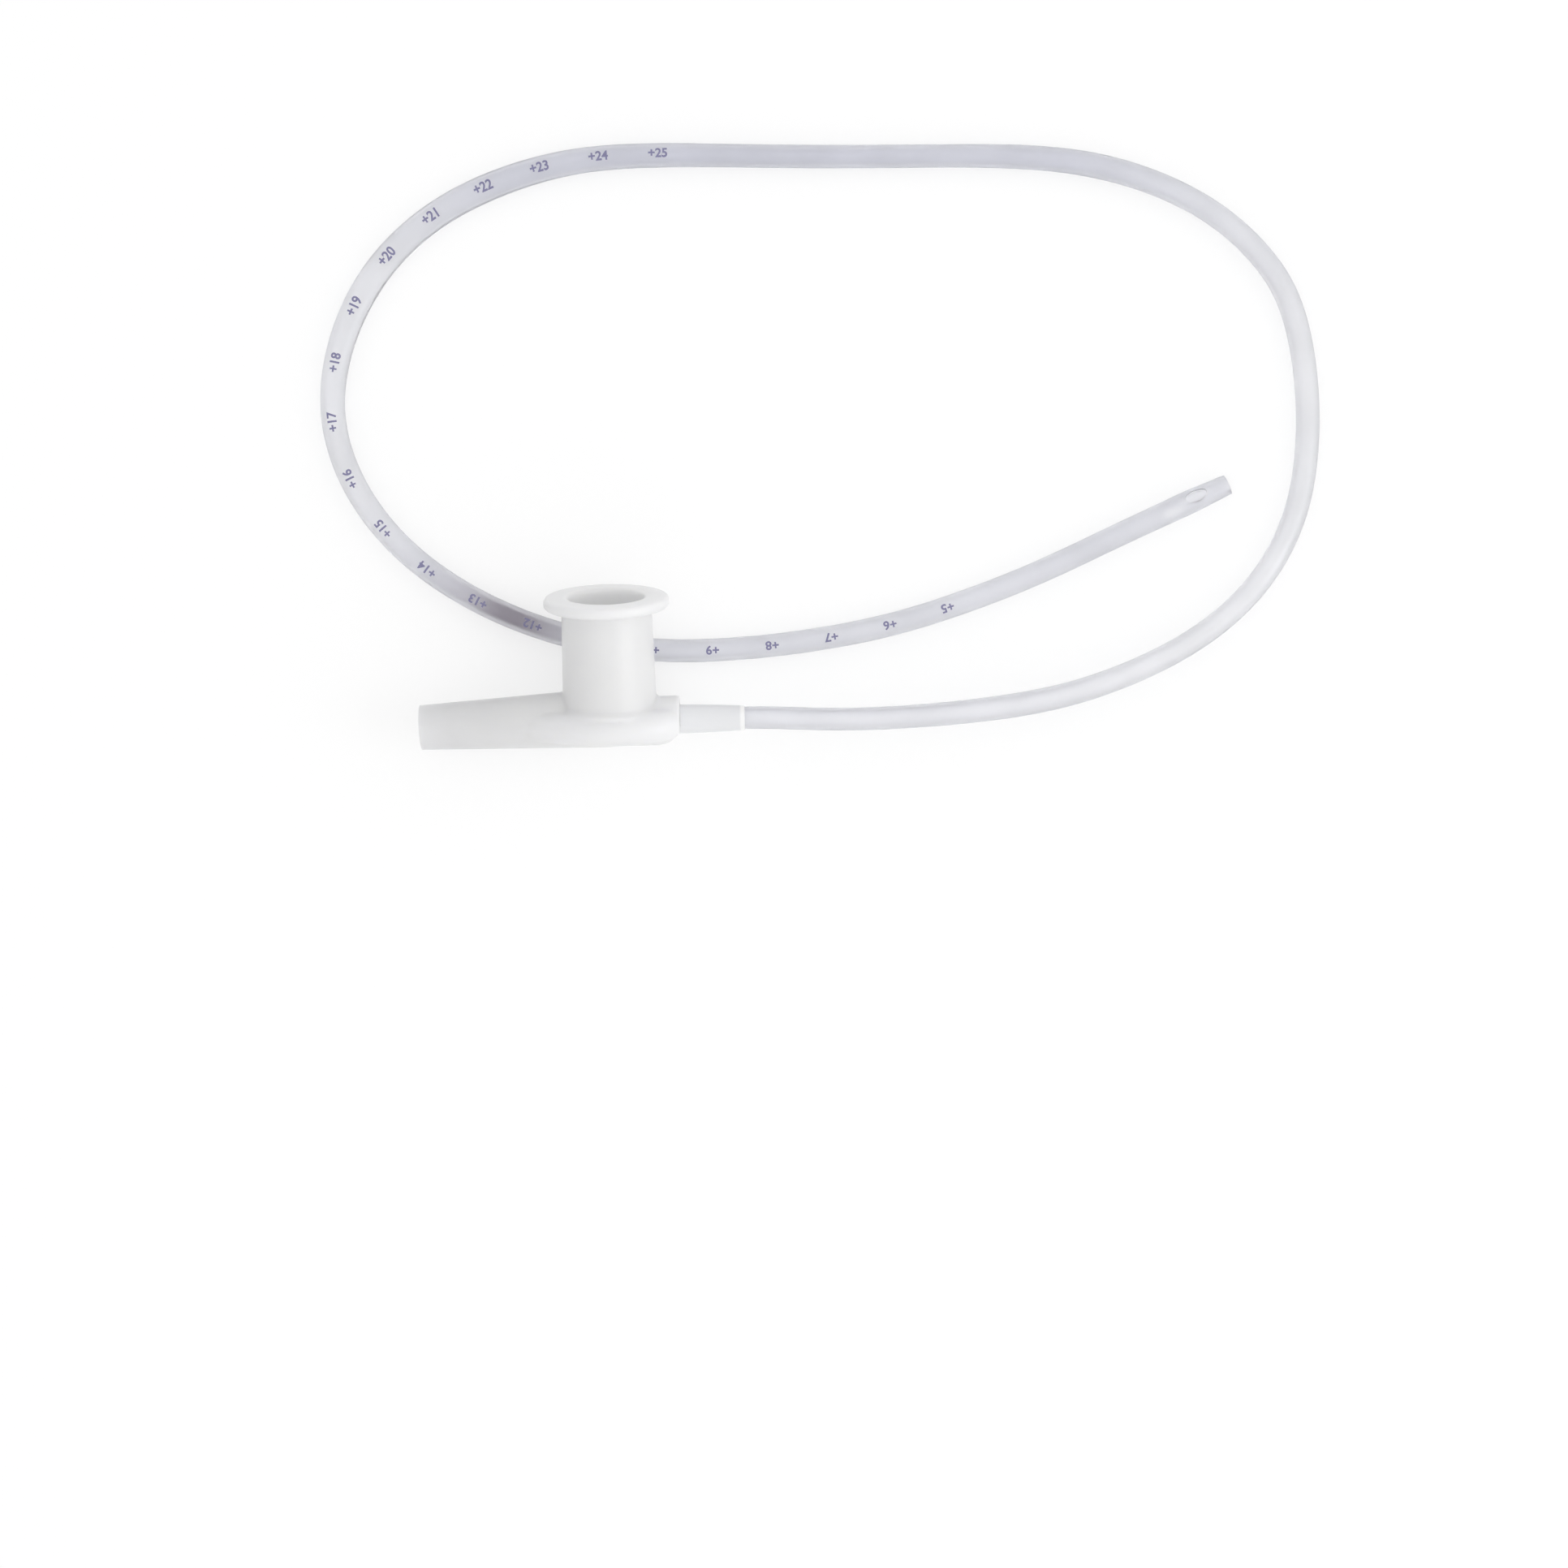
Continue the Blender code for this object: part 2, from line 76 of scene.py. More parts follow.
# The tube's route from the foot of the chimney: along the connector, across, and clear of the floor
ROUTE = [
    (0.0370, -0.0005, 0.0065), (0.0500, -0.0003, 0.0058), (0.0629, 0.0007, 0.0048),
    (0.0758, 0.0028, 0.0036), (0.0883, 0.0069, 0.0024), (0.1000, 0.0131, 0.0013),
    (0.1096, 0.0220, 0.0005), (0.1156, 0.0335, 0.0001), (0.1177, 0.0464, 0.0),
    (0.1171, 0.0594, 0.0), (0.1133, 0.0718, 0.0), (0.1094, 0.0771, 0.0),
    (0.1047, 0.0816, 0.0), (0.0935, 0.0882, 0.0), (0.0810, 0.0920, 0.0),
    (0.0680, 0.0934, 0.0), (0.0484, 0.0938, 0.0), (0.0288, 0.0942, 0.0),
    (0.0093, 0.0947, 0.0), (-0.0038, 0.0940, 0.0), (-0.0164, 0.0909, 0.0),
    (-0.0281, 0.0852, 0.0), (-0.0377, 0.0763, 0.0), (-0.0438, 0.0648, 0.0),
    (-0.0456, 0.0520, 0.0), (-0.0418, 0.0395, 0.0), (-0.0339, 0.0292, 0.0),
    (-0.0234, 0.0214, 0.0), (-0.0115, 0.0159, 0.0), (-0.0001, 0.0128, 0.0),
    (0.0091, 0.0117, 0.0), (0.0221, 0.0118, 0.0), (0.0351, 0.0131, 0.0),
    (0.0480, 0.0155, 0.0), (0.0605, 0.0192, 0.0), (0.0727, 0.0238, 0.0),
    (0.0846, 0.0291, 0.0),
]
# Where the open tip ends and which way it points, and how far the tube is straight at either end
TIP_END = (0.1041, 0.0377)
TIP_HEADING = math.radians(23.7)
TIP_STRAIGHT = 14.3 * MM
SEAT_STRAIGHT = 1.8 * MM
ROUTE_STEPS = 20
# Beyond this distance from the tip the tube leaves the floor
TIP_TO_LIFT = 0.4

# How wide the tube lies, by its distance in metres from the open tip
TUBE_WIDTHS = [
    (0.0, 0.85), (0.0015, 0.88), (0.007, 1.0), (0.014, 0.97), (0.060, 0.96), (0.100, 0.96),
    (0.135, 0.98), (0.150, 1.0), (0.175, 1.02), (0.195, 1.16), (0.222, 1.16), (0.240, 1.05),
    (0.262, 0.97), (0.300, 0.96), (0.325, 1.04), (0.345, 0.99), (0.420, 0.97), (0.462, 1.0),
    (0.480, 0.96), (0.500, 0.93), (0.510, 0.925),
]
# The painted shadow and dark reflection on the stretch beside the chimney, and the painted shade that darkens
# runs of the vinyl, by the same distance
TUBE_PAINTED_SHADOW = [
    (0.0, 0.0), (0.108, 0.0), (0.113, 0.3), (0.118, 0.42), (0.1215, 0.75), (0.1245, 1.0), (0.1285, 0.95),
    (0.132, 0.55), (0.137, 0.25), (0.144, 0.0), (0.510, 0.0),
]
TUBE_PAINTED_SHADE = [
    (0.0, 0.45), (0.070, 0.4), (0.100, 0.5), (0.140, 0.5), (0.160, 0.15), (0.200, 0.2), (0.225, 0.75),
    (0.250, 0.9), (0.320, 0.8), (0.350, 0.3), (0.375, 0.1), (0.430, 0.1), (0.470, 0.3), (0.510, 0.35),
]
# Centimetres from the tip that are printed on the tube
DEPTHS = range(5, 26)

# How far a cutter reaches past what it cuts
SPARE = 2.0 * MM
# The cells that the print is cut into, so that it can bend round the tube and along it
CELL_ROUND = 0.2 * MM
CELL_ALONG = 0.6 * MM
# An edge that turns more than this stays crisp
CRISP_ANGLE = math.radians(40)
# Half of the floor's width, where the lamps point, and which side of the sky is brighter
FLOOR_HALF_WIDTH = 2.0
LAMP_TARGET = (0.03, 0.03, 0.0)
BRIGHT_SIDE = (0.95, -0.3, 0.0)


def millimetres(name, description, size):
    """A setting for a length, written in millimetres and kept in metres."""
    return FloatProperty(name=name, description=description, default=size * MM, unit="LENGTH")


def degrees(name, description, turn):
    """A setting for an angle, written in degrees and kept in radians."""
    return FloatProperty(name=name, description=description, default=math.radians(turn),
                         subtype="ANGLE", unit="ROTATION")


def share(name, description, amount):
    """A setting from none to all."""
    return FloatProperty(name=name, description=description, default=amount, min=0.0, max=1.0,
                         subtype="FACTOR")


def paint(name, description, colour):
    """A setting for a colour."""
    return FloatVectorProperty(name=name, description=description, default=colour, size=3,
                               min=0.0, max=1.0, subtype="COLOR")


class MouldingSizes(bpy.types.PropertyGroup):
    """Sizes and colours of the connector."""

    arm_reach: millimetres("Arm Reach", "From the chimney's axis to the arm's mouth", 31.1)
    arm_mouth_radius: millimetres("Arm Mouth Radius", "Outside of the arm at its mouth", 3.7)
    arm_root_radius: millimetres("Arm Root Radius", "Outside of the arm at the chimney's axis", 4.95)
    arm_mouth_bore: millimetres("Arm Mouth Bore", "Radius of the arm's bore at its mouth", 2.7)
    arm_root_bore: millimetres("Arm Root Bore", "Radius of the arm's bore at the chimney", 3.4)
    arm_droop: degrees("Arm Droop", "How far the arm turns away from the body's line", 2.05)
    arm_rise: millimetres("Arm Rise", "Height of the arm's line over the body's line", 0.49)
    barrel_radius: millimetres("Barrel Radius", "Radius of the body's round core", 4.1)
    barrel_drop: millimetres("Barrel Drop", "How far the core lies under the body's line", 0.2)
    nose_reach: millimetres("Nose Reach", "From the chimney's axis to the square nose", 11.8)
    nose_round: millimetres("Nose Round", "Radius of the nose's lower corner", 5.5)
    nose_corner: degrees("Nose Corner", "Where that round meets the square face", 24.6)
    hull_half_width: millimetres("Hull Half Width", "Half of the hull's width under the chimney", 8.88)
    hull_rim_radius: millimetres("Hull Rim Radius", "Radius of the hull's full round rim", 2.6)
    hull_deck_level: millimetres("Hull Deck Level", "Height of the hull's deck over its line", 2.4)
    hull_bow_reach: millimetres("Hull Bow Reach", "From the chimney's axis to the hull's bow", 13.6)
    hull_stern_reach: millimetres("Hull Stern Reach", "From the chimney's axis to the hull's stern", 17.0)
    hull_stern_half_width: millimetres("Hull Stern Half Width", "Half of the hull's width at its stern", 3.9)
    port_shift: millimetres("Port Shift", "How far the chimney stands towards the nose", 0.25)
    chimney_foot_radius: millimetres("Chimney Foot Radius", "Outside of the chimney at the deck", 7.72)
    chimney_top_radius: millimetres("Chimney Top Radius", "Outside of the chimney at its flange", 7.42)
    port_height: millimetres("Port Height", "From the body's line to the top of the flange", 21.0)
    port_bore: millimetres("Port Bore", "Radius of the hollow in the chimney", 6.2)
    flange_radius: millimetres("Flange Radius", "Outside of the flange", 10.32)
    flange_thickness: millimetres("Flange Thickness", "Thickness of the flange", 1.9)
    chamber_floor: millimetres("Chamber Floor", "Height of the chamber's floor over the line", -1.5)
    foot_fillet: millimetres("Foot Fillet", "Radius of the fillet round the chimney's foot", 0.8)
    nipple_reach: millimetres("Nipple Reach", "From the chimney's axis to the nipple's end", 22.0)
    nipple_root_radius: millimetres("Nipple Root Radius", "Outside of the nipple at the nose", 1.75)
    nipple_end_radius: millimetres("Nipple End Radius", "Outside of the nipple at its end", 1.25)
    nipple_bore: millimetres("Nipple Bore", "Radius of the nipple's bore", 0.9)
    grain: millimetres("Remesh Grain", "Size of the cells that blend the mould's edges", 0.27)
    sleeve_start: millimetres("Sleeve Start", "From the chimney's axis to the sleeve", 11.7)
    sleeve_end: millimetres("Sleeve End", "From the chimney's axis to the sleeve's end", 22.5)
    sleeve_root_radius: millimetres("Sleeve Root Radius", "Outside of the sleeve at the nose", 2.42)
    sleeve_waist_radius: millimetres("Sleeve Waist Radius", "Outside of the sleeve half way", 2.28)
    sleeve_end_radius: millimetres("Sleeve End Radius", "Outside of the sleeve at its shoulder", 2.08)
    colour: paint("Plastic Colour", "Colour of the milky plastic", (0.92, 0.92, 0.932))
    # Partly the thinner wall at the arm's mouth, partly painted shade away from the key lamp
    thin_shaded_colour: paint("Thin Plastic Colour", "Its colour where the wall is thin", (0.82, 0.82, 0.838))
    # Painted light: nearly white, painted in the chimney's bore and as a highlight at the sleeve's end
    painted_glow_colour: paint("Bright Colour", "Its colour in the lit chimney and at the sleeve's end",
                         (0.995, 0.995, 1.0))
    sleeve_colour: paint("Sleeve Colour", "Colour of the sleeve on the nipple", (0.80, 0.805, 0.82))


class TubingSizes(bpy.types.PropertyGroup):
    """Sizes and colours of the tubing."""

    radius: millimetres("Tube Radius", "Outside of the tube", 2.0)
    wall: millimetres("Tube Wall", "Thickness of the tube's wall", 0.65)
    spacing: millimetres("Ring Spacing", "Distance between rings of the tube's mesh", 1.5)
    sides: IntProperty(name="Sides", description="Faces round the tube, an even number", default=64,
                       min=8, max=68)
    start: millimetres("Tube Start", "From the chimney's axis to the tube's end in its sleeve", 21.6)
    eye_length: millimetres("Eye Length", "Length of a side eye", 3.8)
    eye_width: millimetres("Eye Width", "Width of a side eye", 2.0)
    eye_from_end: millimetres("Eye From End", "From the tip's end to the first eye's middle", 5.8)
    eye_spacing: millimetres("Eye Spacing", "Between the two eyes along the tube", 4.2)
    eye_turn: degrees("Eye Turn", "How far the first eye is turned from the top", -18.0)
    # Painted shadow: this share of the shadow painted beside the chimney goes in the outer skin
    outer_shadow: share("Outer Smoke", "Share of the smoke that is in the outer skin", 0.22)
    pale_colour: paint("Pale Vinyl Colour", "Tint of the vinyl at its palest", (0.99, 0.99, 1.0))
    # Painted shade: runs of the vinyl that lie in less light are darkened towards this
    shaded_vinyl_colour: paint("Deep Vinyl Colour", "Tint of the vinyl at its deepest", (0.82, 0.825, 0.875))
    # Painted shade at the tube's grazing edges
    painted_edge_shade_colour: paint("Edge Colour", "What the vinyl takes on where it turns away", (0.80, 0.81, 0.86))
    # Painted shadow and dark reflection on the stretch of tube beside the chimney
    shadow_colour: paint("Smoke Colour", "Tint of the smoky stretch", (0.37, 0.335, 0.385))


class MarkSizes(bpy.types.PropertyGroup):
    """Sizes and colour of the printed depth marks."""

    letter_size: millimetres("Letter Size", "Size of the print", 2.1)
    boldness: millimetres("Boldness", "How much the strokes are widened", 0.055)
    first_gap: millimetres("First Gap", "From the depth itself to its mark", 0.3)
    lift: millimetres("Lift", "From the tube to the underside of the ink", 0.012)
    thickness: millimetres("Thickness", "Thickness of the ink", 0.02)
    spacing: millimetres("Mark Spacing", "Distance between marks", 10.0)
    ink: paint("Ink", "Colour of the print", (0.21, 0.20, 0.34))


class StageSettings(bpy.types.PropertyGroup):
    """Camera, floor and light."""

    camera_place: FloatVectorProperty(name="Camera Place", description="Where the camera stands", size=3,
                                      default=(33.38 * MM, -20.276 * MM, 522.0 * MM), subtype="TRANSLATION")
    camera_turn: degrees("Camera Turn", "Turn of the camera about the upright", -1.1)
    focal_length: FloatProperty(name="Focal Length", description="Focal length on a sensor of 36 mm",
                                default=71.2, unit="CAMERA")
    key_place: FloatVectorProperty(name="Key Place", description="Where the lamp on the right stands", size=3,
                                   default=(0.70, -0.20, 0.55), subtype="TRANSLATION")
    key_size: millimetres("Key Size", "Width of the lamp on the right", 500.0)
    key_power: FloatProperty(name="Key Power", description="Power of the lamp on the right", default=1.2,
                             unit="POWER")
    fill_place: FloatVectorProperty(name="Fill Place", description="Where the overhead lamp stands", size=3,
                                    default=(0.0, 0.05, 1.0), subtype="TRANSLATION")
    fill_size: millimetres("Fill Size", "Width of the overhead lamp", 900.0)
    fill_power: FloatProperty(name="Fill Power", description="Power of the overhead lamp", default=0.3,
                              unit="POWER")
    sky_strength: FloatProperty(name="Sky Strength", description="Light from all round", default=0.92)
    sky_slant: share("Sky Slant", "How much brighter the sky is on the key lamp's side", 0.22)
    floor_bounce: share("Floor Bounce", "How pale the floor is to the light it throws back", 0.92)
    floor_colour: share("Floor Paleness", "How pale the floor is where it is seen", 0.38)
    floor_glow: FloatProperty(name="Floor Glow", description="What the floor adds where it is seen",
                              default=0.62)


def new_object(name, data):
    """Put a new object in the scene."""
    item = bpy.data.objects.new(name, data)
    bpy.context.scene.collection.objects.link(item)
    return item


def mesh_from(builder, name):
    """Merge doubles, point the faces out and turn a bmesh into mesh data."""
    bmesh.ops.remove_doubles(builder, verts=builder.verts, dist=1e-7)
    bmesh.ops.recalc_face_normals(builder, faces=builder.faces)
    mesh_data = bpy.data.meshes.new(name)
    builder.to_mesh(mesh_data)
    builder.free()
    return mesh_data


def baked(item, name):
    """The mesh of an object with its modifiers worked out. The object is removed."""
    bpy.context.view_layer.update()
    graph = bpy.context.evaluated_depsgraph_get()
    mesh_data = bpy.data.meshes.new_from_object(item.evaluated_get(graph), depsgraph=graph)
    mesh_data.name = name
    bpy.data.objects.remove(item, do_unlink=True)
    return mesh_data


def combined(item, steps, name):
    """Join and cut an object with guides, and return the mesh. All the objects are removed."""
    guides = []
    for mesh_data, operation in steps:
        guide = new_object(mesh_data.name, mesh_data)
        guides.append(guide)
        boolean = item.modifiers.new(guide.name, "BOOLEAN")
        boolean.operation = operation
        boolean.solver = "EXACT"
        boolean.object = guide
    mesh_data = baked(item, name)
    for guide in guides:
        bpy.data.objects.remove(guide, do_unlink=True)
    return mesh_data


def raise_faces(builder, faces, height):
    """Extrude faces along Z."""
    raised = bmesh.ops.extrude_face_region(builder, geom=faces)["geom"]
    bmesh.ops.translate(builder, vec=(0, 0, height),
                        verts=[item for item in raised if isinstance(item, bmesh.types.BMVert)])


def arc(centre, radius, start_degrees, end_degrees, steps=8):
    """Points of an arc in a plane, its ends included."""
    points = []
    for step in range(steps + 1):
        turn = math.radians(start_degrees + (end_degrees - start_degrees) * step / steps)
        points.append((centre[0] + radius * math.cos(turn), centre[1] + radius * math.sin(turn)))
    return points


def turned(name, outline, segments=96):
    """Turn an outline of (place along the axis, radius) about +X."""
    builder = bmesh.new()
    corners = [builder.verts.new((along, 0.0, radius)) for along, radius in outline]
    edges = [builder.edges.new(pair) for pair in zip(corners, corners[1:])]
    bmesh.ops.spin(builder, geom=corners + edges, cent=(0, 0, 0), axis=(1, 0, 0),
                   angle=2 * math.pi, steps=segments, use_merge=True)
    return mesh_from(builder, name)


def prism(name, outline, half_depth):
    """Extrude an outline in X and Y to both sides along Z."""
    builder = bmesh.new()
    face = builder.faces.new([builder.verts.new((x, y, -half_depth)) for x, y in outline])
    raise_faces(builder, [face], 2 * half_depth)
    return mesh_from(builder, name)


def hull_outline(sizes, inset, steps=28):
    """Plan of the hull: an elliptic bow towards the nose, and a stern that fades into the arm."""
    width = sizes.hull_half_width - inset
    stern_width = max(sizes.hull_stern_half_width - inset, sizes.hull_stern_half_width / 8)
    bow = sizes.hull_bow_reach - inset
    side = []
    for step in range(steps):
        share_left = 1 - step / steps
        swell = (1 + math.cos(math.pi * share_left)) / 2
        side.append((-sizes.hull_stern_reach * share_left, stern_width + (width - stern_width) * swell))
    for step in range(steps):
        turn = math.pi / 2 * step / steps
        side.append((bow * math.sin(turn), width * math.cos(turn)))
    return side + [(bow, 0.0)] + [(x, -z) for x, z in reversed(side)]


def hull_mesh(sizes, steps=16):
    """The hull as outlines that follow the half-circle of its rim, bridged and capped."""
    builder = bmesh.new()
    rings = []
    rim = sizes.hull_rim_radius
    for step in range(steps + 1):
        turn = math.pi * (step / steps - 0.5)
        level = sizes.hull_deck_level - rim + rim * math.sin(turn)
        outline = hull_outline(sizes, rim * (1 - math.cos(turn)))
        corners = [builder.verts.new((x, level, z)) for x, z in outline]
        rings.append([builder.edges.new(pair) for pair in zip(corners, corners[1:] + corners[:1])])
    for lower, upper in zip(rings, rings[1:]):
        bmesh.ops.bridge_loops(builder, edges=lower + upper)
    bmesh.ops.holes_fill(builder, edges=rings[0] + rings[-1])
    return mesh_from(builder, "hull")


def nose_cutter(sizes):
    """What is cut away past the square nose and round its lower corner."""
    under_barrel = 0.06 * MM
    bottom = -sizes.barrel_drop - sizes.barrel_radius - under_barrel
    far, high = 2 * sizes.hull_bow_reach, 4 * sizes.barrel_radius
    centre = (sizes.nose_reach - sizes.nose_round * math.cos(sizes.nose_corner), bottom + sizes.nose_round)
    outline = arc(centre, sizes.nose_round, -math.degrees(sizes.nose_corner), -90)
    outline += [(centre[0], bottom - SPARE), (far, bottom - SPARE), (far, high), (sizes.nose_reach, high)]
    return prism("nose", outline, 2 * sizes.hull_half_width)


def arm_meshes(sizes):
    """The tapered arm, left a little long, then its bore, and the cutter that trims its mouth square."""
    reach, root, mouth_bore = sizes.arm_reach, sizes.arm_root_radius, sizes.arm_mouth_bore
    taper = (root - sizes.arm_mouth_radius) / reach
    uncut = reach + SPARE / 2
    arm = [(-uncut, 0.0), (-uncut, root - taper * uncut), (0.0, root), (0.0, 0.0)]
    chamber = -sizes.port_bore / 2
    bore = [(-reach - SPARE, 0.0), (-reach - SPARE, mouth_bore), (-reach, mouth_bore),
            (chamber, sizes.arm_root_bore), (chamber, 0.0)]
    far, high = -reach - 2 * SPARE, 2 * sizes.barrel_radius
    trim = [(far, 0.0), (far, high), (-reach, high), (-reach, 0.0)]
    meshes = turned("arm", arm), turned("arm_bore", bore), turned("arm_trim", trim)
    drooping = Matrix.Translation((0, sizes.arm_rise, 0)) @ Matrix.Rotation(sizes.arm_droop, 4, "Z")
    for mesh_data in meshes:
        mesh_data.transform(drooping)
    return meshes


def chimney_meshes(sizes):
    """The chimney with its foot fillet and flange as one solid, and its hollow with a rounded lip."""
    top, deck, bore, floor = sizes.port_height, sizes.hull_deck_level, sizes.port_bore, sizes.chamber_floor
    underside = top - sizes.flange_thickness
    edge, neck, foot, sunk = 0.7 * MM, 0.6 * MM, sizes.foot_fillet, 0.5 * MM
    inner, outer = sizes.chimney_foot_radius - foot, sizes.chimney_foot_radius + foot
    outline = [(floor, 0.0), (floor, inner), (deck - sunk, inner), (deck - sunk, outer)]
    outline += arc((deck + foot, outer), foot, 180, 270)
    outline += arc((underside - neck, sizes.chimney_top_radius + neck), neck, -90, 0)
    outline += arc((underside + edge, sizes.flange_radius - edge), edge, 180, 90)
    outline += arc((top - edge, sizes.flange_radius - edge), edge, 90, 0)
    outline += [(top, 0.0)]
    lip, corner = 0.5 * MM, 0.8 * MM
    hollow = [(top + SPARE, 0.0), (top + SPARE, bore + lip)]
    hollow += arc((top - lip, bore + lip), lip, 0, -90)
    hollow += arc((floor + corner, bore - corner), corner, 90, 180)
    hollow += [(floor, 0.0)]
    meshes = turned("chimney", outline), turned("port_bore", hollow)
    upright = Matrix.Translation((sizes.port_shift, 0, 0)) @ Matrix.Rotation(math.pi / 2, 4, "Z")
    for mesh_data in meshes:
        mesh_data.transform(upright)
    return meshes


def nipple_meshes(sizes):
    """The nipple with its rounded end, and its bore from the chamber."""
    nose, reach = sizes.nose_reach, sizes.nipple_reach
    root, bore = sizes.nipple_root_radius, sizes.nipple_bore
    edge = (sizes.nipple_end_radius - bore) / 2
    outline = [(nose - SPARE, 0.0), (nose - SPARE, root), (nose, root)]
    outline += arc((reach - edge, sizes.nipple_end_radius - edge), edge, 90, 0)
    outline += [(reach, 0.0)]
    chamber = sizes.port_bore / 2
    hollow = [(chamber, 0.0), (chamber, bore), (reach + SPARE, bore), (reach + SPARE, 0.0)]
    return turned("nipple", outline, segments=32), turned("nipple_bore", hollow, segments=32)


def moulding_mesh(sizes):
    """The whole connector in its own frame, with its edges blended as a mould blends them."""
    bow, barrel = sizes.hull_bow_reach, sizes.barrel_radius
    core = turned("barrel", [(0.0, 0.0), (0.0, barrel), (bow, barrel), (bow, 0.0)])
    core.transform(Matrix.Translation((0, -sizes.barrel_drop, 0)))
    arm, arm_bore, arm_trim = arm_meshes(sizes)
    chimney, port_bore = chimney_meshes(sizes)
    steps = [(core, "UNION"), (nose_cutter(sizes), "DIFFERENCE"), (arm, "UNION"), (chimney, "UNION"),
             (port_bore, "DIFFERENCE"), (arm_bore, "DIFFERENCE")]
    rough = combined(new_object("hull", hull_mesh(sizes)), steps, "rough_moulding")
    blended = new_object("blended", rough)
    remesh = blended.modifiers.new("cells", "REMESH")
    remesh.mode = "VOXEL"
    remesh.voxel_size = sizes.grain
    smooth = blended.modifiers.new("blend", "SMOOTH")
    smooth.factor = 0.5
    smooth.iterations = 4
    nipple, nipple_bore = nipple_meshes(sizes)
    steps = [(nipple, "UNION"), (nipple_bore, "DIFFERENCE"), (arm_trim, "DIFFERENCE")]
    return combined(blended, steps, "connector_moulding")


def sleeve_mesh(sizes, tube_start, tube_radius):
    """The milky sleeve that holds the tube on the nipple, a closed ring with a seat for the tube's end."""
    start, end = sizes.sleeve_start, sizes.sleeve_end
    root, waist, tip = sizes.sleeve_root_radius, sizes.sleeve_waist_radius, sizes.sleeve_end_radius
    middle = (start + end) / 2
    clearance, draft = 0.03 * MM, 0.985
    shoulder, shoulder_drop, steps = 0.5 * MM, 0.16 * MM, 6
    outline = [(start, sizes.nipple_root_radius + clearance), (start, root),
               (start + (middle - start) / 3, root * draft), (middle, waist),
               ((middle + end) / 2, (waist + tip) / 2)]
    for step in range(steps + 1):
        turn = math.pi / 2 * step / steps
        along = end - shoulder + shoulder * math.sin(turn)
        outline.append((along, tip - shoulder_drop * (1 - math.cos(turn))))
    outline += [(end, tube_radius), (tube_start, tube_radius),
                (tube_start, sizes.nipple_end_radius + clearance)]
    return turned("connector_sleeve", outline + outline[:1], segments=64)


def smooth_route(points, start_way, end_way, spacing):
    """Points at an even spacing along the smooth curve through the route's own points."""
    knots = np.array(points)
    steps = np.diff(knots, axis=0)
    spans = np.linalg.norm(steps, axis=1)
    count = len(knots)
    weights = np.zeros((count, count))
    pulls = np.zeros((count, 3))
    weights[0, 0] = weights[-1, -1] = 1.0
    pulls[0], pulls[-1] = start_way, end_way
    for i in range(1, count - 1):
        weights[i, i - 1:i + 2] = (1 / spans[i - 1], 2 / spans[i - 1] + 2 / spans[i], 1 / spans[i])
        pulls[i] = 3 * (steps[i - 1] / spans[i - 1] ** 2 + steps[i] / spans[i] ** 2)
    slopes = np.linalg.solve(weights, pulls)
    fine = []
    for i in range(count - 1):
        for t in np.linspace(0, 1, ROUTE_STEPS, endpoint=i == count - 2):
            rise = spans[i] * ((t - 2 * t ** 2 + t ** 3) * slopes[i] + (t ** 3 - t ** 2) * slopes[i + 1])
            fine.append(knots[i] + (3 * t ** 2 - 2 * t ** 3) * steps[i] + rise)
    fine = np.array(fine)
    reach = np.concatenate([[0], np.cumsum(np.linalg.norm(np.diff(fine, axis=0), axis=1))])
    places = np.linspace(0, reach[-1], round(reach[-1] / spacing) + 1)
    return np.stack([np.interp(places, reach, fine[:, axis]) for axis in range(3)], axis=1)


def tube_line(sizes):
    """The tube's centreline from inside its sleeve to the open tip, as an array of points."""
    radius = sizes.radius
    end_way = np.array((math.cos(TIP_HEADING), math.sin(TIP_HEADING), 0.0))
    tip_end = np.array((*TIP_END, radius))
    route = [(sizes.start, 0.0, LINE_START.z), (sizes.start + SEAT_STRAIGHT, 0.0, LINE_START.z)]
    route += [(x, y, lift + radius) for x, y, lift in ROUTE]
    route += [tuple(tip_end - TIP_STRAIGHT * end_way), tuple(tip_end)]
    shift = np.array((LINE_START.x, LINE_START.y, 0.0))
    return smooth_route(route, (1.0, 0.0, 0.0), end_way, sizes.spacing) + shift


def from_tip(line):
    """Distance of each point of a line from its last one."""
    steps = np.linalg.norm(np.diff(line, axis=0), axis=1)
    return np.concatenate([np.cumsum(steps[::-1])[::-1], [0.0]])


def along_tube(table, distances):
    """Values at distances from the tip, on straight lines between a table's listed points."""
    places, values = zip(*table)
    return np.interp(distances, places, values)


def sideways(line):
    """Level directions across the line at each of its points."""
    side = np.cross(np.gradient(line, axis=0), (0.0, 0.0, 1.0))
    return side / np.linalg.norm(side, axis=1)[:, None]


def laid(sizes, across, rise, distances):
    """Offsets from the centreline once the tube has flattened or narrowed and settled on the floor."""
    widths = along_tube(TUBE_WIDTHS, distances)
    flat = np.where(widths > 1.0, 1 / widths, widths)
    sunk = np.where(distances < TIP_TO_LIFT, sizes.radius * (1 - flat), 0.0)
    return across * widths, rise * flat - sunk


def eye_cutter(sizes, line, index, steps=32):
    """An oval prism that cuts an eye through one wall of the tube."""
    outline = []
    for step in range(steps):
        turn = 2 * math.pi * step / steps
        outline.append((sizes.eye_length / 2 * math.cos(turn), sizes.eye_width / 2 * math.sin(turn)))
    cutter = prism("eye_%d" % index, outline, sizes.radius / 2)
    side = 1 - 2 * index
    back = -sizes.eye_from_end - index * sizes.eye_spacing
    cutter.transform(Matrix.Translation(line[-1]) @ Matrix.Rotation(TIP_HEADING, 4, "Z")
                     @ Matrix.Rotation(sizes.eye_turn, 4, "X")
                     @ Matrix.Translation((back, 0, side * sizes.radius)))
    return cutter


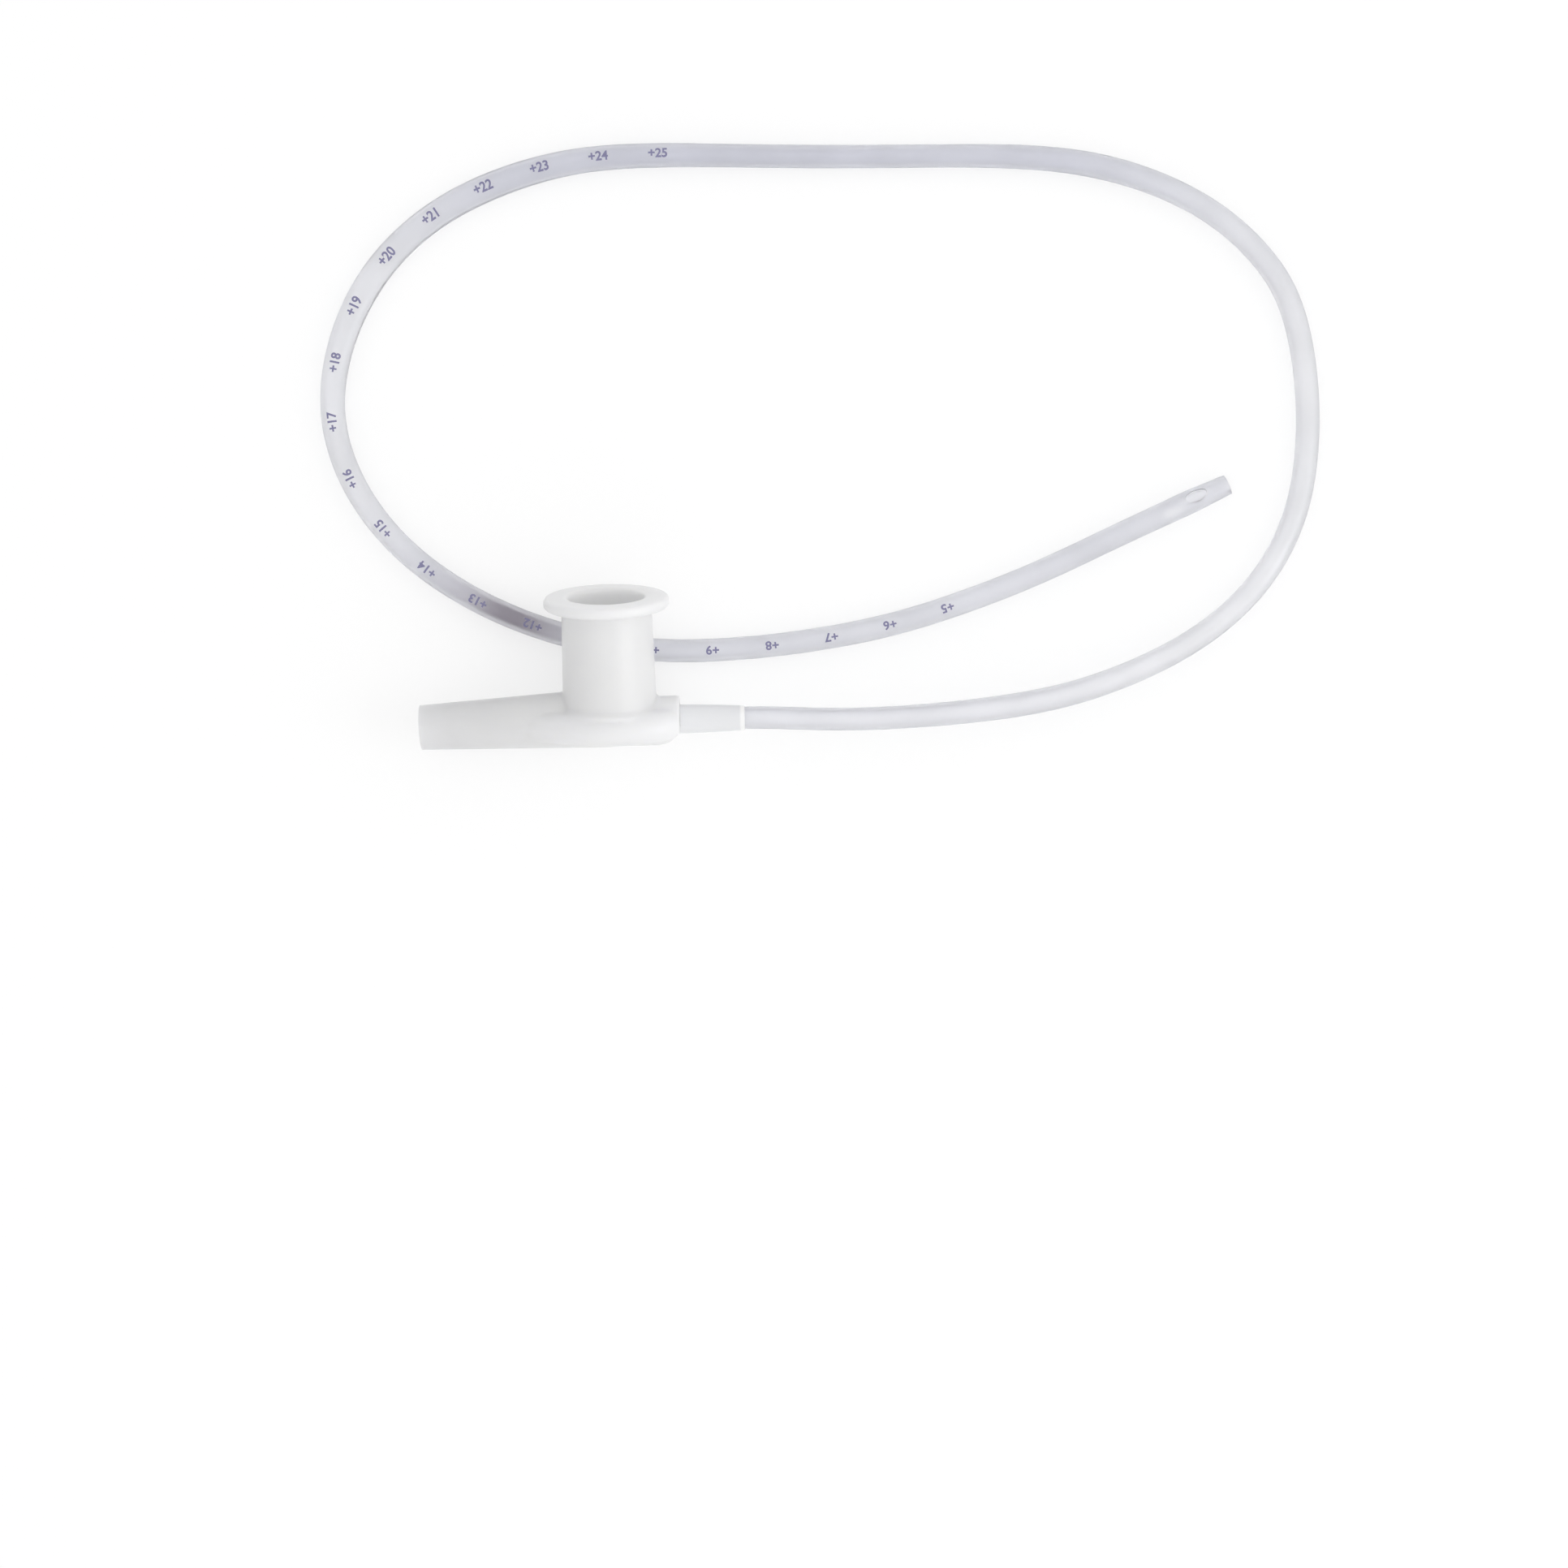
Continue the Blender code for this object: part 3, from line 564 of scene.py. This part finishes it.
def tube_sweep(sizes, line):
    """The outside of a round tube along the line, with one ring of corners at each point."""
    curve = bpy.data.curves.new("tubing_line", "CURVE")
    curve.dimensions = "3D"
    curve.bevel_depth = sizes.radius
    # Blender makes 4 sides and 2 more for each step of the resolution
    curve.bevel_resolution = (sizes.sides - 4) // 2
    spline = curve.splines.new("POLY")
    spline.points.add(len(line) - 1)
    for point, place in zip(spline.points, line):
        point.co = (*place, 1.0)
    return baked(new_object("tubing_sweep", curve), "tubing_skin")


def tubing_mesh(sizes, line):
    """The hollow tube with its eyes cut."""
    distances = from_tip(line)
    skin = tube_sweep(sizes, line)
    rings = np.arange(len(skin.vertices)) // sizes.sides
    places = np.array([vertex.co for vertex in skin.vertices])
    side = sideways(line)[rings]
    offsets = places - line[rings]
    across = np.sum(offsets * side, axis=1)
    new_across, new_rise = laid(sizes, across, offsets[:, 2], distances[rings])
    places += (new_across - across)[:, None] * side
    places[:, 2] += new_rise - offsets[:, 2]
    skin.vertices.foreach_set("co", places.astype(np.float32).ravel())
    # Painted shadow and painted shade along the tube, by distance from the tip
    for name, table in (("painted_shadow", TUBE_PAINTED_SHADOW), ("painted_shade", TUBE_PAINTED_SHADE)):
        values = skin.attributes.new(name, "FLOAT", "POINT")
        values.data.foreach_set("value", along_tube(table, distances)[rings].astype(np.float32))
    wall = new_object("tubing_wall", skin)
    solidify = wall.modifiers.new("wall", "SOLIDIFY")
    solidify.thickness = sizes.wall
    solidify.offset = -1.0
    walled = baked(wall, "tubing_walled")
    # The corners of the outer skin come first, and most of the painted shadow is in the bore
    painted_shadow = walled.attributes["painted_shadow"]
    values = np.zeros(len(walled.vertices), np.float32)
    painted_shadow.data.foreach_get("value", values)
    values[:len(rings)] *= sizes.outer_shadow
    painted_shadow.data.foreach_set("value", values)
    eyes = [(eye_cutter(sizes, line, index), "DIFFERENCE") for index in range(2)]
    return combined(new_object("tubing_walled", walled), eyes, "catheter_tubing")


def flat_mark(sizes, depth):
    """A cross and the centimetres from the tip as flat faces, cut into cells that can bend."""
    words = bpy.data.curves.new("mark", "FONT")
    words.body = "+%d" % depth
    words.size = sizes.letter_size
    words.offset = sizes.boldness
    words.align_y = "CENTER"
    words.resolution_u = 3
    builder = bmesh.new()
    builder.from_mesh(baked(new_object("mark", words), "mark"))
    bmesh.ops.remove_doubles(builder, verts=builder.verts, dist=1e-7)
    for axis, step, reach in ((1, CELL_ROUND, sizes.letter_size), (0, CELL_ALONG, 3 * sizes.letter_size)):
        for count in range(-int(reach / step), int(reach / step) + 1):
            place, normal = Vector(), Vector()
            place[axis], normal[axis] = count * step, 1.0
            bmesh.ops.bisect_plane(builder, geom=builder.verts[:] + builder.edges[:] + builder.faces[:],
                                   plane_co=place, plane_no=normal, dist=1e-7)
    return builder


def mark_mesh(sizes, tube, line, depth):
    """One printed mark, bent round the tube as closed ink."""
    builder = flat_mark(sizes, depth)
    raise_faces(builder, builder.faces[:], sizes.thickness)
    distances = from_tip(line)[::-1]
    side = sideways(line)
    for vertex in builder.verts:
        place = depth * sizes.spacing + sizes.first_gap + vertex.co.x
        turn = vertex.co.y / tube.radius
        out = tube.radius + sizes.lift + vertex.co.z
        across, rise = laid(tube, out * math.sin(turn), out * math.cos(turn), np.float64(place))
        centre = np.array([np.interp(place, distances, line[::-1, axis]) for axis in range(3)])
        way = np.array([np.interp(place, distances, side[::-1, axis]) for axis in range(3)])
        vertex.co = centre + across * way + (0.0, 0.0, rise)
    return mesh_from(builder, "mark")


def set_inputs(node, **values):
    """Set a node's plain input values by name, with _ in place of each space."""
    for name, value in values.items():
        node.inputs[name.replace("_", " ")].default_value = value


def add_node(tree, kind, place=(0, 0), **values):
    """A node with its plain input values set by name."""
    node = tree.nodes.new(kind)
    node.location = place
    set_inputs(node, **values)
    return node


def math_node(tree, kind, operation, place):
    """A Math or Vector Math node."""
    node = add_node(tree, kind, place)
    node.operation = operation
    return node


def mixed(tree, place, blend_type="MIX"):
    """The factor, first and second sockets of a new colour Mix node, and its result."""
    node = add_node(tree, "ShaderNodeMix", place)
    node.data_type = "RGBA"
    node.blend_type = blend_type
    return node.inputs[0], node.inputs[6], node.inputs[7], node.outputs[2]


def join_sockets(tree, source, target):
    """Link two sockets."""
    tree.links.new(source, target)


def join(tree, source, output, target, entry):
    """Link two nodes by the names or numbers of their sockets."""
    tree.links.new(source.outputs[output], target.inputs[entry])


def new_material(name):
    """A material with its tree and its Principled shader."""
    material = bpy.data.materials.new(name)
    material.use_nodes = True
    return material, material.node_tree, material.node_tree.nodes["Principled BSDF"]


def clouding_group():
    """Node group that clouds a finish: soft patches, and fine grain for a bump."""
    group = bpy.data.node_groups.new("Clouding", "ShaderNodeTree")
    settings = (("Patch Scale", 1.0, 1000.0, 60.0), ("Grain Scale", 1.0, 50000.0, 4000.0),
                ("Darkest", 0.0, 1.0, 0.9), ("Grain Height", 0.0, 1.0, 0.2))
    for name, low, high, default in settings:
        socket = group.interface.new_socket(name=name, in_out="INPUT", socket_type="NodeSocketFloat")
        socket.min_value, socket.max_value, socket.default_value = low, high, default
    group.interface.new_socket(name="Vector", in_out="INPUT", socket_type="NodeSocketVector")
    group.interface.new_socket(name="Cloud", in_out="OUTPUT", socket_type="NodeSocketFloat")
    group.interface.new_socket(name="Normal", in_out="OUTPUT", socket_type="NodeSocketVector")
    entry = add_node(group, "NodeGroupInput", (-800, 0))
    leave = add_node(group, "NodeGroupOutput", (600, 0))
    patches = add_node(group, "ShaderNodeTexNoise", (-500, 200), Detail=3.0, Roughness=0.5)
    grain = add_node(group, "ShaderNodeTexNoise", (-500, -200), Detail=2.0, Roughness=0.6)
    spread = add_node(group, "ShaderNodeMapRange", (-200, 200), From_Min=0.35, From_Max=0.65, To_Max=1.0)
    bump = add_node(group, "ShaderNodeBump", (200, -200), Distance=0.00002)
    join(group, entry, "Vector", patches, "Vector")
    join(group, entry, "Vector", grain, "Vector")
    join(group, entry, "Patch Scale", patches, "Scale")
    join(group, entry, "Grain Scale", grain, "Scale")
    join(group, patches, "Fac", spread, "Value")
    join(group, entry, "Darkest", spread, "To Min")
    join(group, entry, "Grain Height", bump, "Strength")
    join(group, grain, "Fac", bump, "Height")
    join(group, spread, "Result", leave, "Cloud")
    join(group, bump, "Normal", leave, "Normal")
    return group


def clouded(tree, group, place, **values):
    """The clouding group placed in a material on object coordinates, with its own values."""
    where = add_node(tree, "ShaderNodeTexCoord", (place[0] - 300, place[1]))
    node = add_node(tree, "ShaderNodeGroup", place)
    node.node_tree = group
    set_inputs(node, **values)
    join(tree, where, "Object", node, "Vector")
    return node


def milky_plastic(name, group, depth, clearness):
    """Cloudy satin plastic that light enters as far as depth, and the place where its colour goes in."""
    material, tree, shader = new_material(name)
    cloud = clouded(tree, group, (-800, -100), Patch_Scale=90.0, Grain_Scale=2500.0, Darkest=0.965,
                    Grain_Height=0.25)
    amount, under, over, shade = mixed(tree, (-450, 200), "MULTIPLY")
    amount.default_value = 1.0
    join_sockets(tree, cloud.outputs["Cloud"], over)
    join_sockets(tree, shade, shader.inputs["Base Color"])
    join(tree, cloud, "Normal", shader, "Normal")
    set_inputs(shader, Roughness=0.36, IOR=1.5, Transmission_Weight=clearness, Subsurface_Weight=1.0,
               Subsurface_Radius=(1.0, 1.0, 1.05), Subsurface_Scale=depth)
    return material, under


def moulded_plastic(sizes, group):
    """Milky polyethylene, greyer towards the arm's thinner mouth, partly painted shade, and with painted
    light inside the chimney.
    """
    material, under = milky_plastic("milky_polyethylene", group, depth=2.5 * MM, clearness=0.15)
    tree = material.node_tree
    thin_shaded_end, thick_unshaded_end = -28.0 * MM, -3.0 * MM
    glow_start, glow_full = sizes.port_bore + 0.9 * MM, sizes.port_bore + 0.2 * MM
    where = add_node(tree, "ShaderNodeTexCoord", (-2300, 300))
    undone = CONNECTOR_PLACE.inverted()
    upright = add_node(tree, "ShaderNodeMapping", (-2100, 300), Location=undone.to_translation(),
                       Rotation=undone.to_euler())
    split = add_node(tree, "ShaderNodeSeparateXYZ", (-1900, 300))
    level = add_node(tree, "ShaderNodeCombineXYZ", (-1700, 100))
    off_axis = math_node(tree, "ShaderNodeVectorMath", "DISTANCE", (-1500, 100))
    off_axis.inputs[1].default_value = (sizes.port_shift, 0.0, 0.0)
    join(tree, where, "Object", upright, "Vector")
    join(tree, upright, "Vector", split, "Vector")
    join(tree, split, "X", level, "X")
    join(tree, split, "Z", level, "Z")
    join(tree, level, "Vector", off_axis, 0)
    # Painted shade with the thinner wall: grey at the arm's mouth, full colour near the chimney
    reach = add_node(tree, "ShaderNodeMapRange", (-1300, 500), From_Min=thin_shaded_end, From_Max=thick_unshaded_end)
    reach.interpolation_type = "SMOOTHSTEP"
    # Painted light: the chimney's bore is painted palest, as if lit through its wall
    painted_bore_glow = add_node(tree, "ShaderNodeMapRange", (-1300, 200), From_Min=glow_start, From_Max=glow_full)
    join(tree, split, "X", reach, "Value")
    join(tree, off_axis, "Value", painted_bore_glow, "Value")
    factor, first, second, arm_shaded = mixed(tree, (-1050, 400))
    join_sockets(tree, reach.outputs["Result"], factor)
    first.default_value, second.default_value = (*sizes.thin_shaded_colour, 1.0), (*sizes.colour, 1.0)
    factor, first, second, finished = mixed(tree, (-800, 300))
    join_sockets(tree, painted_bore_glow.outputs["Result"], factor)
    join_sockets(tree, arm_shaded, first)
    second.default_value = (*sizes.painted_glow_colour, 1.0)
    join_sockets(tree, finished, under)
    return material


def sleeve_plastic(sizes, group):
    """Thin milky plastic, with a painted highlight round its end where it meets the tube."""
    material, under = milky_plastic("milky_sleeve", group, depth=0.4 * MM, clearness=0.0)
    tree = material.node_tree
    # Painted highlight: a pale band at the sleeve's end stands in for the glint at the tube's seat
    end = LINE_START.x + sizes.sleeve_end
    glint_start, glint_full = end - 0.9 * MM, end - 0.5 * MM
    where = add_node(tree, "ShaderNodeTexCoord", (-1700, 300))
    split = add_node(tree, "ShaderNodeSeparateXYZ", (-1500, 300))
    glint = add_node(tree, "ShaderNodeMapRange", (-1300, 300), From_Min=glint_start, From_Max=glint_full)
    join(tree, where, "Object", split, "Vector")
    join(tree, split, "X", glint, "Value")
    factor, first, second, finished = mixed(tree, (-1050, 300))
    join_sockets(tree, glint.outputs["Result"], factor)
    first.default_value, second.default_value = (*sizes.sleeve_colour, 1.0), (*sizes.painted_glow_colour, 1.0)
    join_sockets(tree, finished, under)
    return material


def clear_vinyl(sizes, group):
    """Hazy clear vinyl, with painted shade along its runs and at its grazing edges, and a painted shadow
    beside the chimney. It lets light through to the floor.
    """
    material, tree, shader = new_material("clear_vinyl")
    # Painted shade along the runs of the tube, from its attribute
    painted_shade = add_node(tree, "ShaderNodeAttribute", (-1300, 300))
    painted_shade.attribute_name = "painted_shade"
    painted_shadow = add_node(tree, "ShaderNodeAttribute", (-1300, 0))
    painted_shadow.attribute_name = "painted_shadow"
    factor, first, second, vinyl = mixed(tree, (-1000, 300))
    join_sockets(tree, painted_shade.outputs["Fac"], factor)
    first.default_value, second.default_value = (*sizes.pale_colour, 1.0), (*sizes.shaded_vinyl_colour, 1.0)
    cloud = clouded(tree, group, (-1000, -200), Patch_Scale=140.0, Grain_Scale=300.0, Darkest=0.95,
                    Grain_Height=0.05)
    amount, under, over, shaded = mixed(tree, (-750, 300), "MULTIPLY")
    amount.default_value = 1.0
    join_sockets(tree, vinyl, under)
    join_sockets(tree, cloud.outputs["Cloud"], over)
    # Painted shade: the vinyl greys where it turns away, standing in for the dark edges of refraction
    edge = add_node(tree, "ShaderNodeLayerWeight", (-750, 600), Blend=0.35)
    turning, face_on, painted_edge_shade, edge_shaded = mixed(tree, (-600, 300), "MULTIPLY")
    join_sockets(tree, edge.outputs["Facing"], turning)
    join_sockets(tree, shaded, face_on)
    painted_edge_shade.default_value = (*sizes.painted_edge_shade_colour, 1.0)
    # Painted shadow and dark reflection: the stretch beside the chimney darkens to the shadow colour
    shadowed, clean, dark, result = mixed(tree, (-450, 200))
    join_sockets(tree, painted_shadow.outputs["Fac"], shadowed)
    join_sockets(tree, edge_shaded, clean)
    dark.default_value = (*sizes.shadow_colour, 1.0)
    join_sockets(tree, result, shader.inputs["Base Color"])
    join(tree, cloud, "Normal", shader, "Normal")
    set_inputs(shader, Roughness=0.3, IOR=1.45, Transmission_Weight=0.92, Subsurface_Weight=1.0,
               Subsurface_Radius=(1.0, 1.0, 1.0), Subsurface_Scale=0.002)
    path = add_node(tree, "ShaderNodeLightPath", (0, 400))
    through = add_node(tree, "ShaderNodeBsdfTransparent", (0, -300), Color=(*sizes.pale_colour, 1.0))
    mix = add_node(tree, "ShaderNodeMixShader", (300, 200))
    join(tree, path, "Is Shadow Ray", mix, 0)
    join(tree, shader, "BSDF", mix, 1)
    join(tree, through, "BSDF", mix, 2)
    join(tree, mix, "Shader", tree.nodes["Material Output"], "Surface")
    return material


def printed_ink(colour):
    """Violet-blue print on vinyl."""
    material, _, shader = new_material("printed_ink")
    set_inputs(shader, Base_Color=(*colour, 1.0), Roughness=0.45)
    return material


def floor_white(settings):
    """A white floor. Where it is seen it is partly glow, so that it shows white and keeps a faint shadow."""
    material, tree, shader = new_material("white_floor")
    set_inputs(shader, Roughness=0.9, Specular_IOR_Level=0.0, Emission_Color=(1, 1, 1, 1))
    path = add_node(tree, "ShaderNodeLightPath", (-1100, 300))
    either = math_node(tree, "ShaderNodeMath", "MAXIMUM", (-900, 300))
    seen = math_node(tree, "ShaderNodeMath", "MAXIMUM", (-700, 300))
    strength = math_node(tree, "ShaderNodeMath", "MULTIPLY", (-400, 0))
    strength.inputs[1].default_value = settings.floor_glow
    join(tree, path, "Is Camera Ray", either, 0)
    join(tree, path, "Is Glossy Ray", either, 1)
    join(tree, either, 0, seen, 0)
    join(tree, path, "Is Transmission Ray", seen, 1)
    join(tree, seen, 0, strength, 0)
    join(tree, strength, 0, shader, "Emission Strength")
    factor, unseen, shown, paint_seen = mixed(tree, (-400, 300))
    unseen.default_value = (*(settings.floor_bounce,) * 3, 1.0)
    shown.default_value = (*(settings.floor_colour,) * 3, 1.0)
    join_sockets(tree, seen.outputs[0], factor)
    join_sockets(tree, paint_seen, shader.inputs["Base Color"])
    return material


def aimed_lamp(name, place, size, power):
    """A square area lamp that points at the catheter."""
    light = bpy.data.lights.new(name, "AREA")
    light.shape = "SQUARE"
    light.size = size
    light.energy = power
    lamp = new_object(name, light)
    lamp.location = place
    lamp.rotation_euler = (Vector(LAMP_TARGET) - Vector(place)).to_track_quat("-Z", "Y").to_euler()


def camera_from(settings):
    """The camera, which looks straight down."""
    camera = bpy.data.cameras.new("camera")
    camera.lens = settings.focal_length
    camera.sensor_width = 36.0
    camera.clip_start = 0.01
    camera.clip_end = 10.0
    viewer = new_object("camera", camera)
    viewer.location = settings.camera_place
    viewer.rotation_euler = (0.0, 0.0, settings.camera_turn)
    return viewer


def light_the_sky(world, settings):
    """A white sky, brighter on the key lamp's side, and plain white where the camera sees it."""
    world.use_nodes = True
    tree = world.node_tree
    tree.nodes.clear()
    where = add_node(tree, "ShaderNodeTexCoord", (-900, 0))
    slant = math_node(tree, "ShaderNodeVectorMath", "DOT_PRODUCT", (-700, 0))
    slant.inputs[1].default_value = BRIGHT_SIDE
    level = math_node(tree, "ShaderNodeMath", "MULTIPLY_ADD", (-500, 0))
    level.inputs[1].default_value = settings.sky_strength * settings.sky_slant
    level.inputs[2].default_value = settings.sky_strength
    plain = add_node(tree, "ShaderNodeBackground", (-300, 0), Color=(1, 1, 1, 1))
    seen = add_node(tree, "ShaderNodeBackground", (-300, -200), Color=(1, 1, 1, 1), Strength=1.0)
    path = add_node(tree, "ShaderNodeLightPath", (-300, 300))
    mix = add_node(tree, "ShaderNodeMixShader", (0, 0))
    output = add_node(tree, "ShaderNodeOutputWorld", (200, 0))
    join(tree, where, "Generated", slant, 0)
    join(tree, slant, "Value", level, 0)
    join(tree, level, "Value", plain, "Strength")
    join(tree, path, "Is Camera Ray", mix, 0)
    join(tree, plain, "Background", mix, 1)
    join(tree, seen, "Background", mix, 2)
    join(tree, mix, "Shader", output, "Surface")


def finished_piece(name, mesh_data, material):
    """Shade a mesh, give it its material and let it ride on the part's body."""
    if len(mesh_data.polygons) == 0:
        raise RuntimeError("%s has no faces" % name)
    mesh_data.shade_smooth()
    mesh_data.set_sharp_from_angle(angle=CRISP_ANGLE)
    mesh_data.materials.clear()
    mesh_data.materials.append(material)
    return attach(new_object(name, mesh_data), "root")


class CATHETER_OT_moulding(bpy.types.Operator):
    """Model the moulded connector and the sleeve on its nipple"""

    bl_idname = "catheter.moulding"
    bl_label = "Add Connector Moulding"

    def execute(self, context):
        sizes, tube = context.scene.catheter_moulding, context.scene.catheter_tubing
        group = clouding_group()
        seat = tube.radius * TUBE_WIDTHS[-1][1]
        sleeve = sleeve_mesh(sizes, tube.start, seat)
        pieces = (
            ("connector_moulding", moulding_mesh(sizes), moulded_plastic(sizes, group), "connector"),
            ("connector_sleeve", sleeve, sleeve_plastic(sizes, group), "tube_cuff"),
        )
        for name, mesh_data, material, solid in pieces:
            mesh_data.transform(CONNECTOR_PLACE)
            piece = finished_piece(name, mesh_data, material)
            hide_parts(solid)
        return {"FINISHED"}


class CATHETER_OT_tubing(bpy.types.Operator):
    """Model the clear tube from its sleeve to its open tip"""

    bl_idname = "catheter.tubing"
    bl_label = "Add Tubing"

    def execute(self, context):
        sizes = context.scene.catheter_tubing
        line = tube_line(sizes)
        vinyl = clear_vinyl(sizes, bpy.data.node_groups["Clouding"])
        tubing = finished_piece("catheter_tubing", tubing_mesh(sizes, line), vinyl)
        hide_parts("catheter_tube", "catheter_tip")
        return {"FINISHED"}


class CATHETER_OT_marks(bpy.types.Operator):
    """Print the depth marks on the tube"""

    bl_idname = "catheter.marks"
    bl_label = "Add Depth Marks"

    def execute(self, context):
        sizes, tube = context.scene.catheter_marks, context.scene.catheter_tubing
        line = tube_line(tube)
        builder = bmesh.new()
        for depth in DEPTHS:
            mesh_data = mark_mesh(sizes, tube, line, depth)
            builder.from_mesh(mesh_data)
            bpy.data.meshes.remove(mesh_data)
        printed = bpy.data.meshes.new("depth_marks")
        builder.to_mesh(printed)
        builder.free()
        finished_piece("depth_marks", printed, printed_ink(sizes.ink))
        return {"FINISHED"}


class CATHETER_OT_stage(bpy.types.Operator):
    """Set up the floor, the light and the camera"""

    bl_idname = "catheter.stage"
    bl_label = "Add Stage"

    def execute(self, context):
        scene = context.scene
        settings = scene.catheter_stage
        builder = bmesh.new()
        bmesh.ops.create_grid(builder, x_segments=1, y_segments=1, size=FLOOR_HALF_WIDTH)
        floor = new_object("floor", mesh_from(builder, "floor"))
        floor.data.materials.append(floor_white(settings))
        scene.camera = camera_from(settings)
        aimed_lamp("key_lamp", settings.key_place, settings.key_size, settings.key_power)
        aimed_lamp("overhead_lamp", settings.fill_place, settings.fill_size, settings.fill_power)
        scene.world = scene.world or bpy.data.worlds.new("sky")
        light_the_sky(scene.world, settings)
        scene.view_settings.view_transform = "Standard"
        return {"FINISHED"}


class CATHETER_PT_panel(bpy.types.Panel):
    """Lists the catheter's pieces"""

    bl_idname = "CATHETER_PT_panel"
    bl_label = "Suction Catheter"
    bl_space_type = "VIEW_3D"
    bl_region_type = "UI"
    bl_category = "Catheter"

    def draw(self, context):
        for operator in OPERATORS:
            self.layout.operator(operator.bl_idname)


GROUPS = {
    "catheter_moulding": MouldingSizes,
    "catheter_tubing": TubingSizes,
    "catheter_marks": MarkSizes,
    "catheter_stage": StageSettings,
}
OPERATORS = (CATHETER_OT_stage, CATHETER_OT_moulding, CATHETER_OT_tubing, CATHETER_OT_marks)
CLASSES = (*GROUPS.values(), *OPERATORS, CATHETER_PT_panel)


def register():
    """Register the classes and their settings."""
    for item in CLASSES:
        bpy.utils.register_class(item)
    for name, group in GROUPS.items():
        setattr(bpy.types.Scene, name, PointerProperty(type=group))


def unregister():
    """Undo register."""
    for name in GROUPS:
        delattr(bpy.types.Scene, name)
    for item in reversed(CLASSES):
        bpy.utils.unregister_class(item)


def main():
    """Build the catheter and its stage."""
    register()
    bpy.ops.catheter.stage()
    bpy.ops.catheter.moulding()
    bpy.ops.catheter.tubing()
    bpy.ops.catheter.marks()


if __name__ == "__main__":
    main()
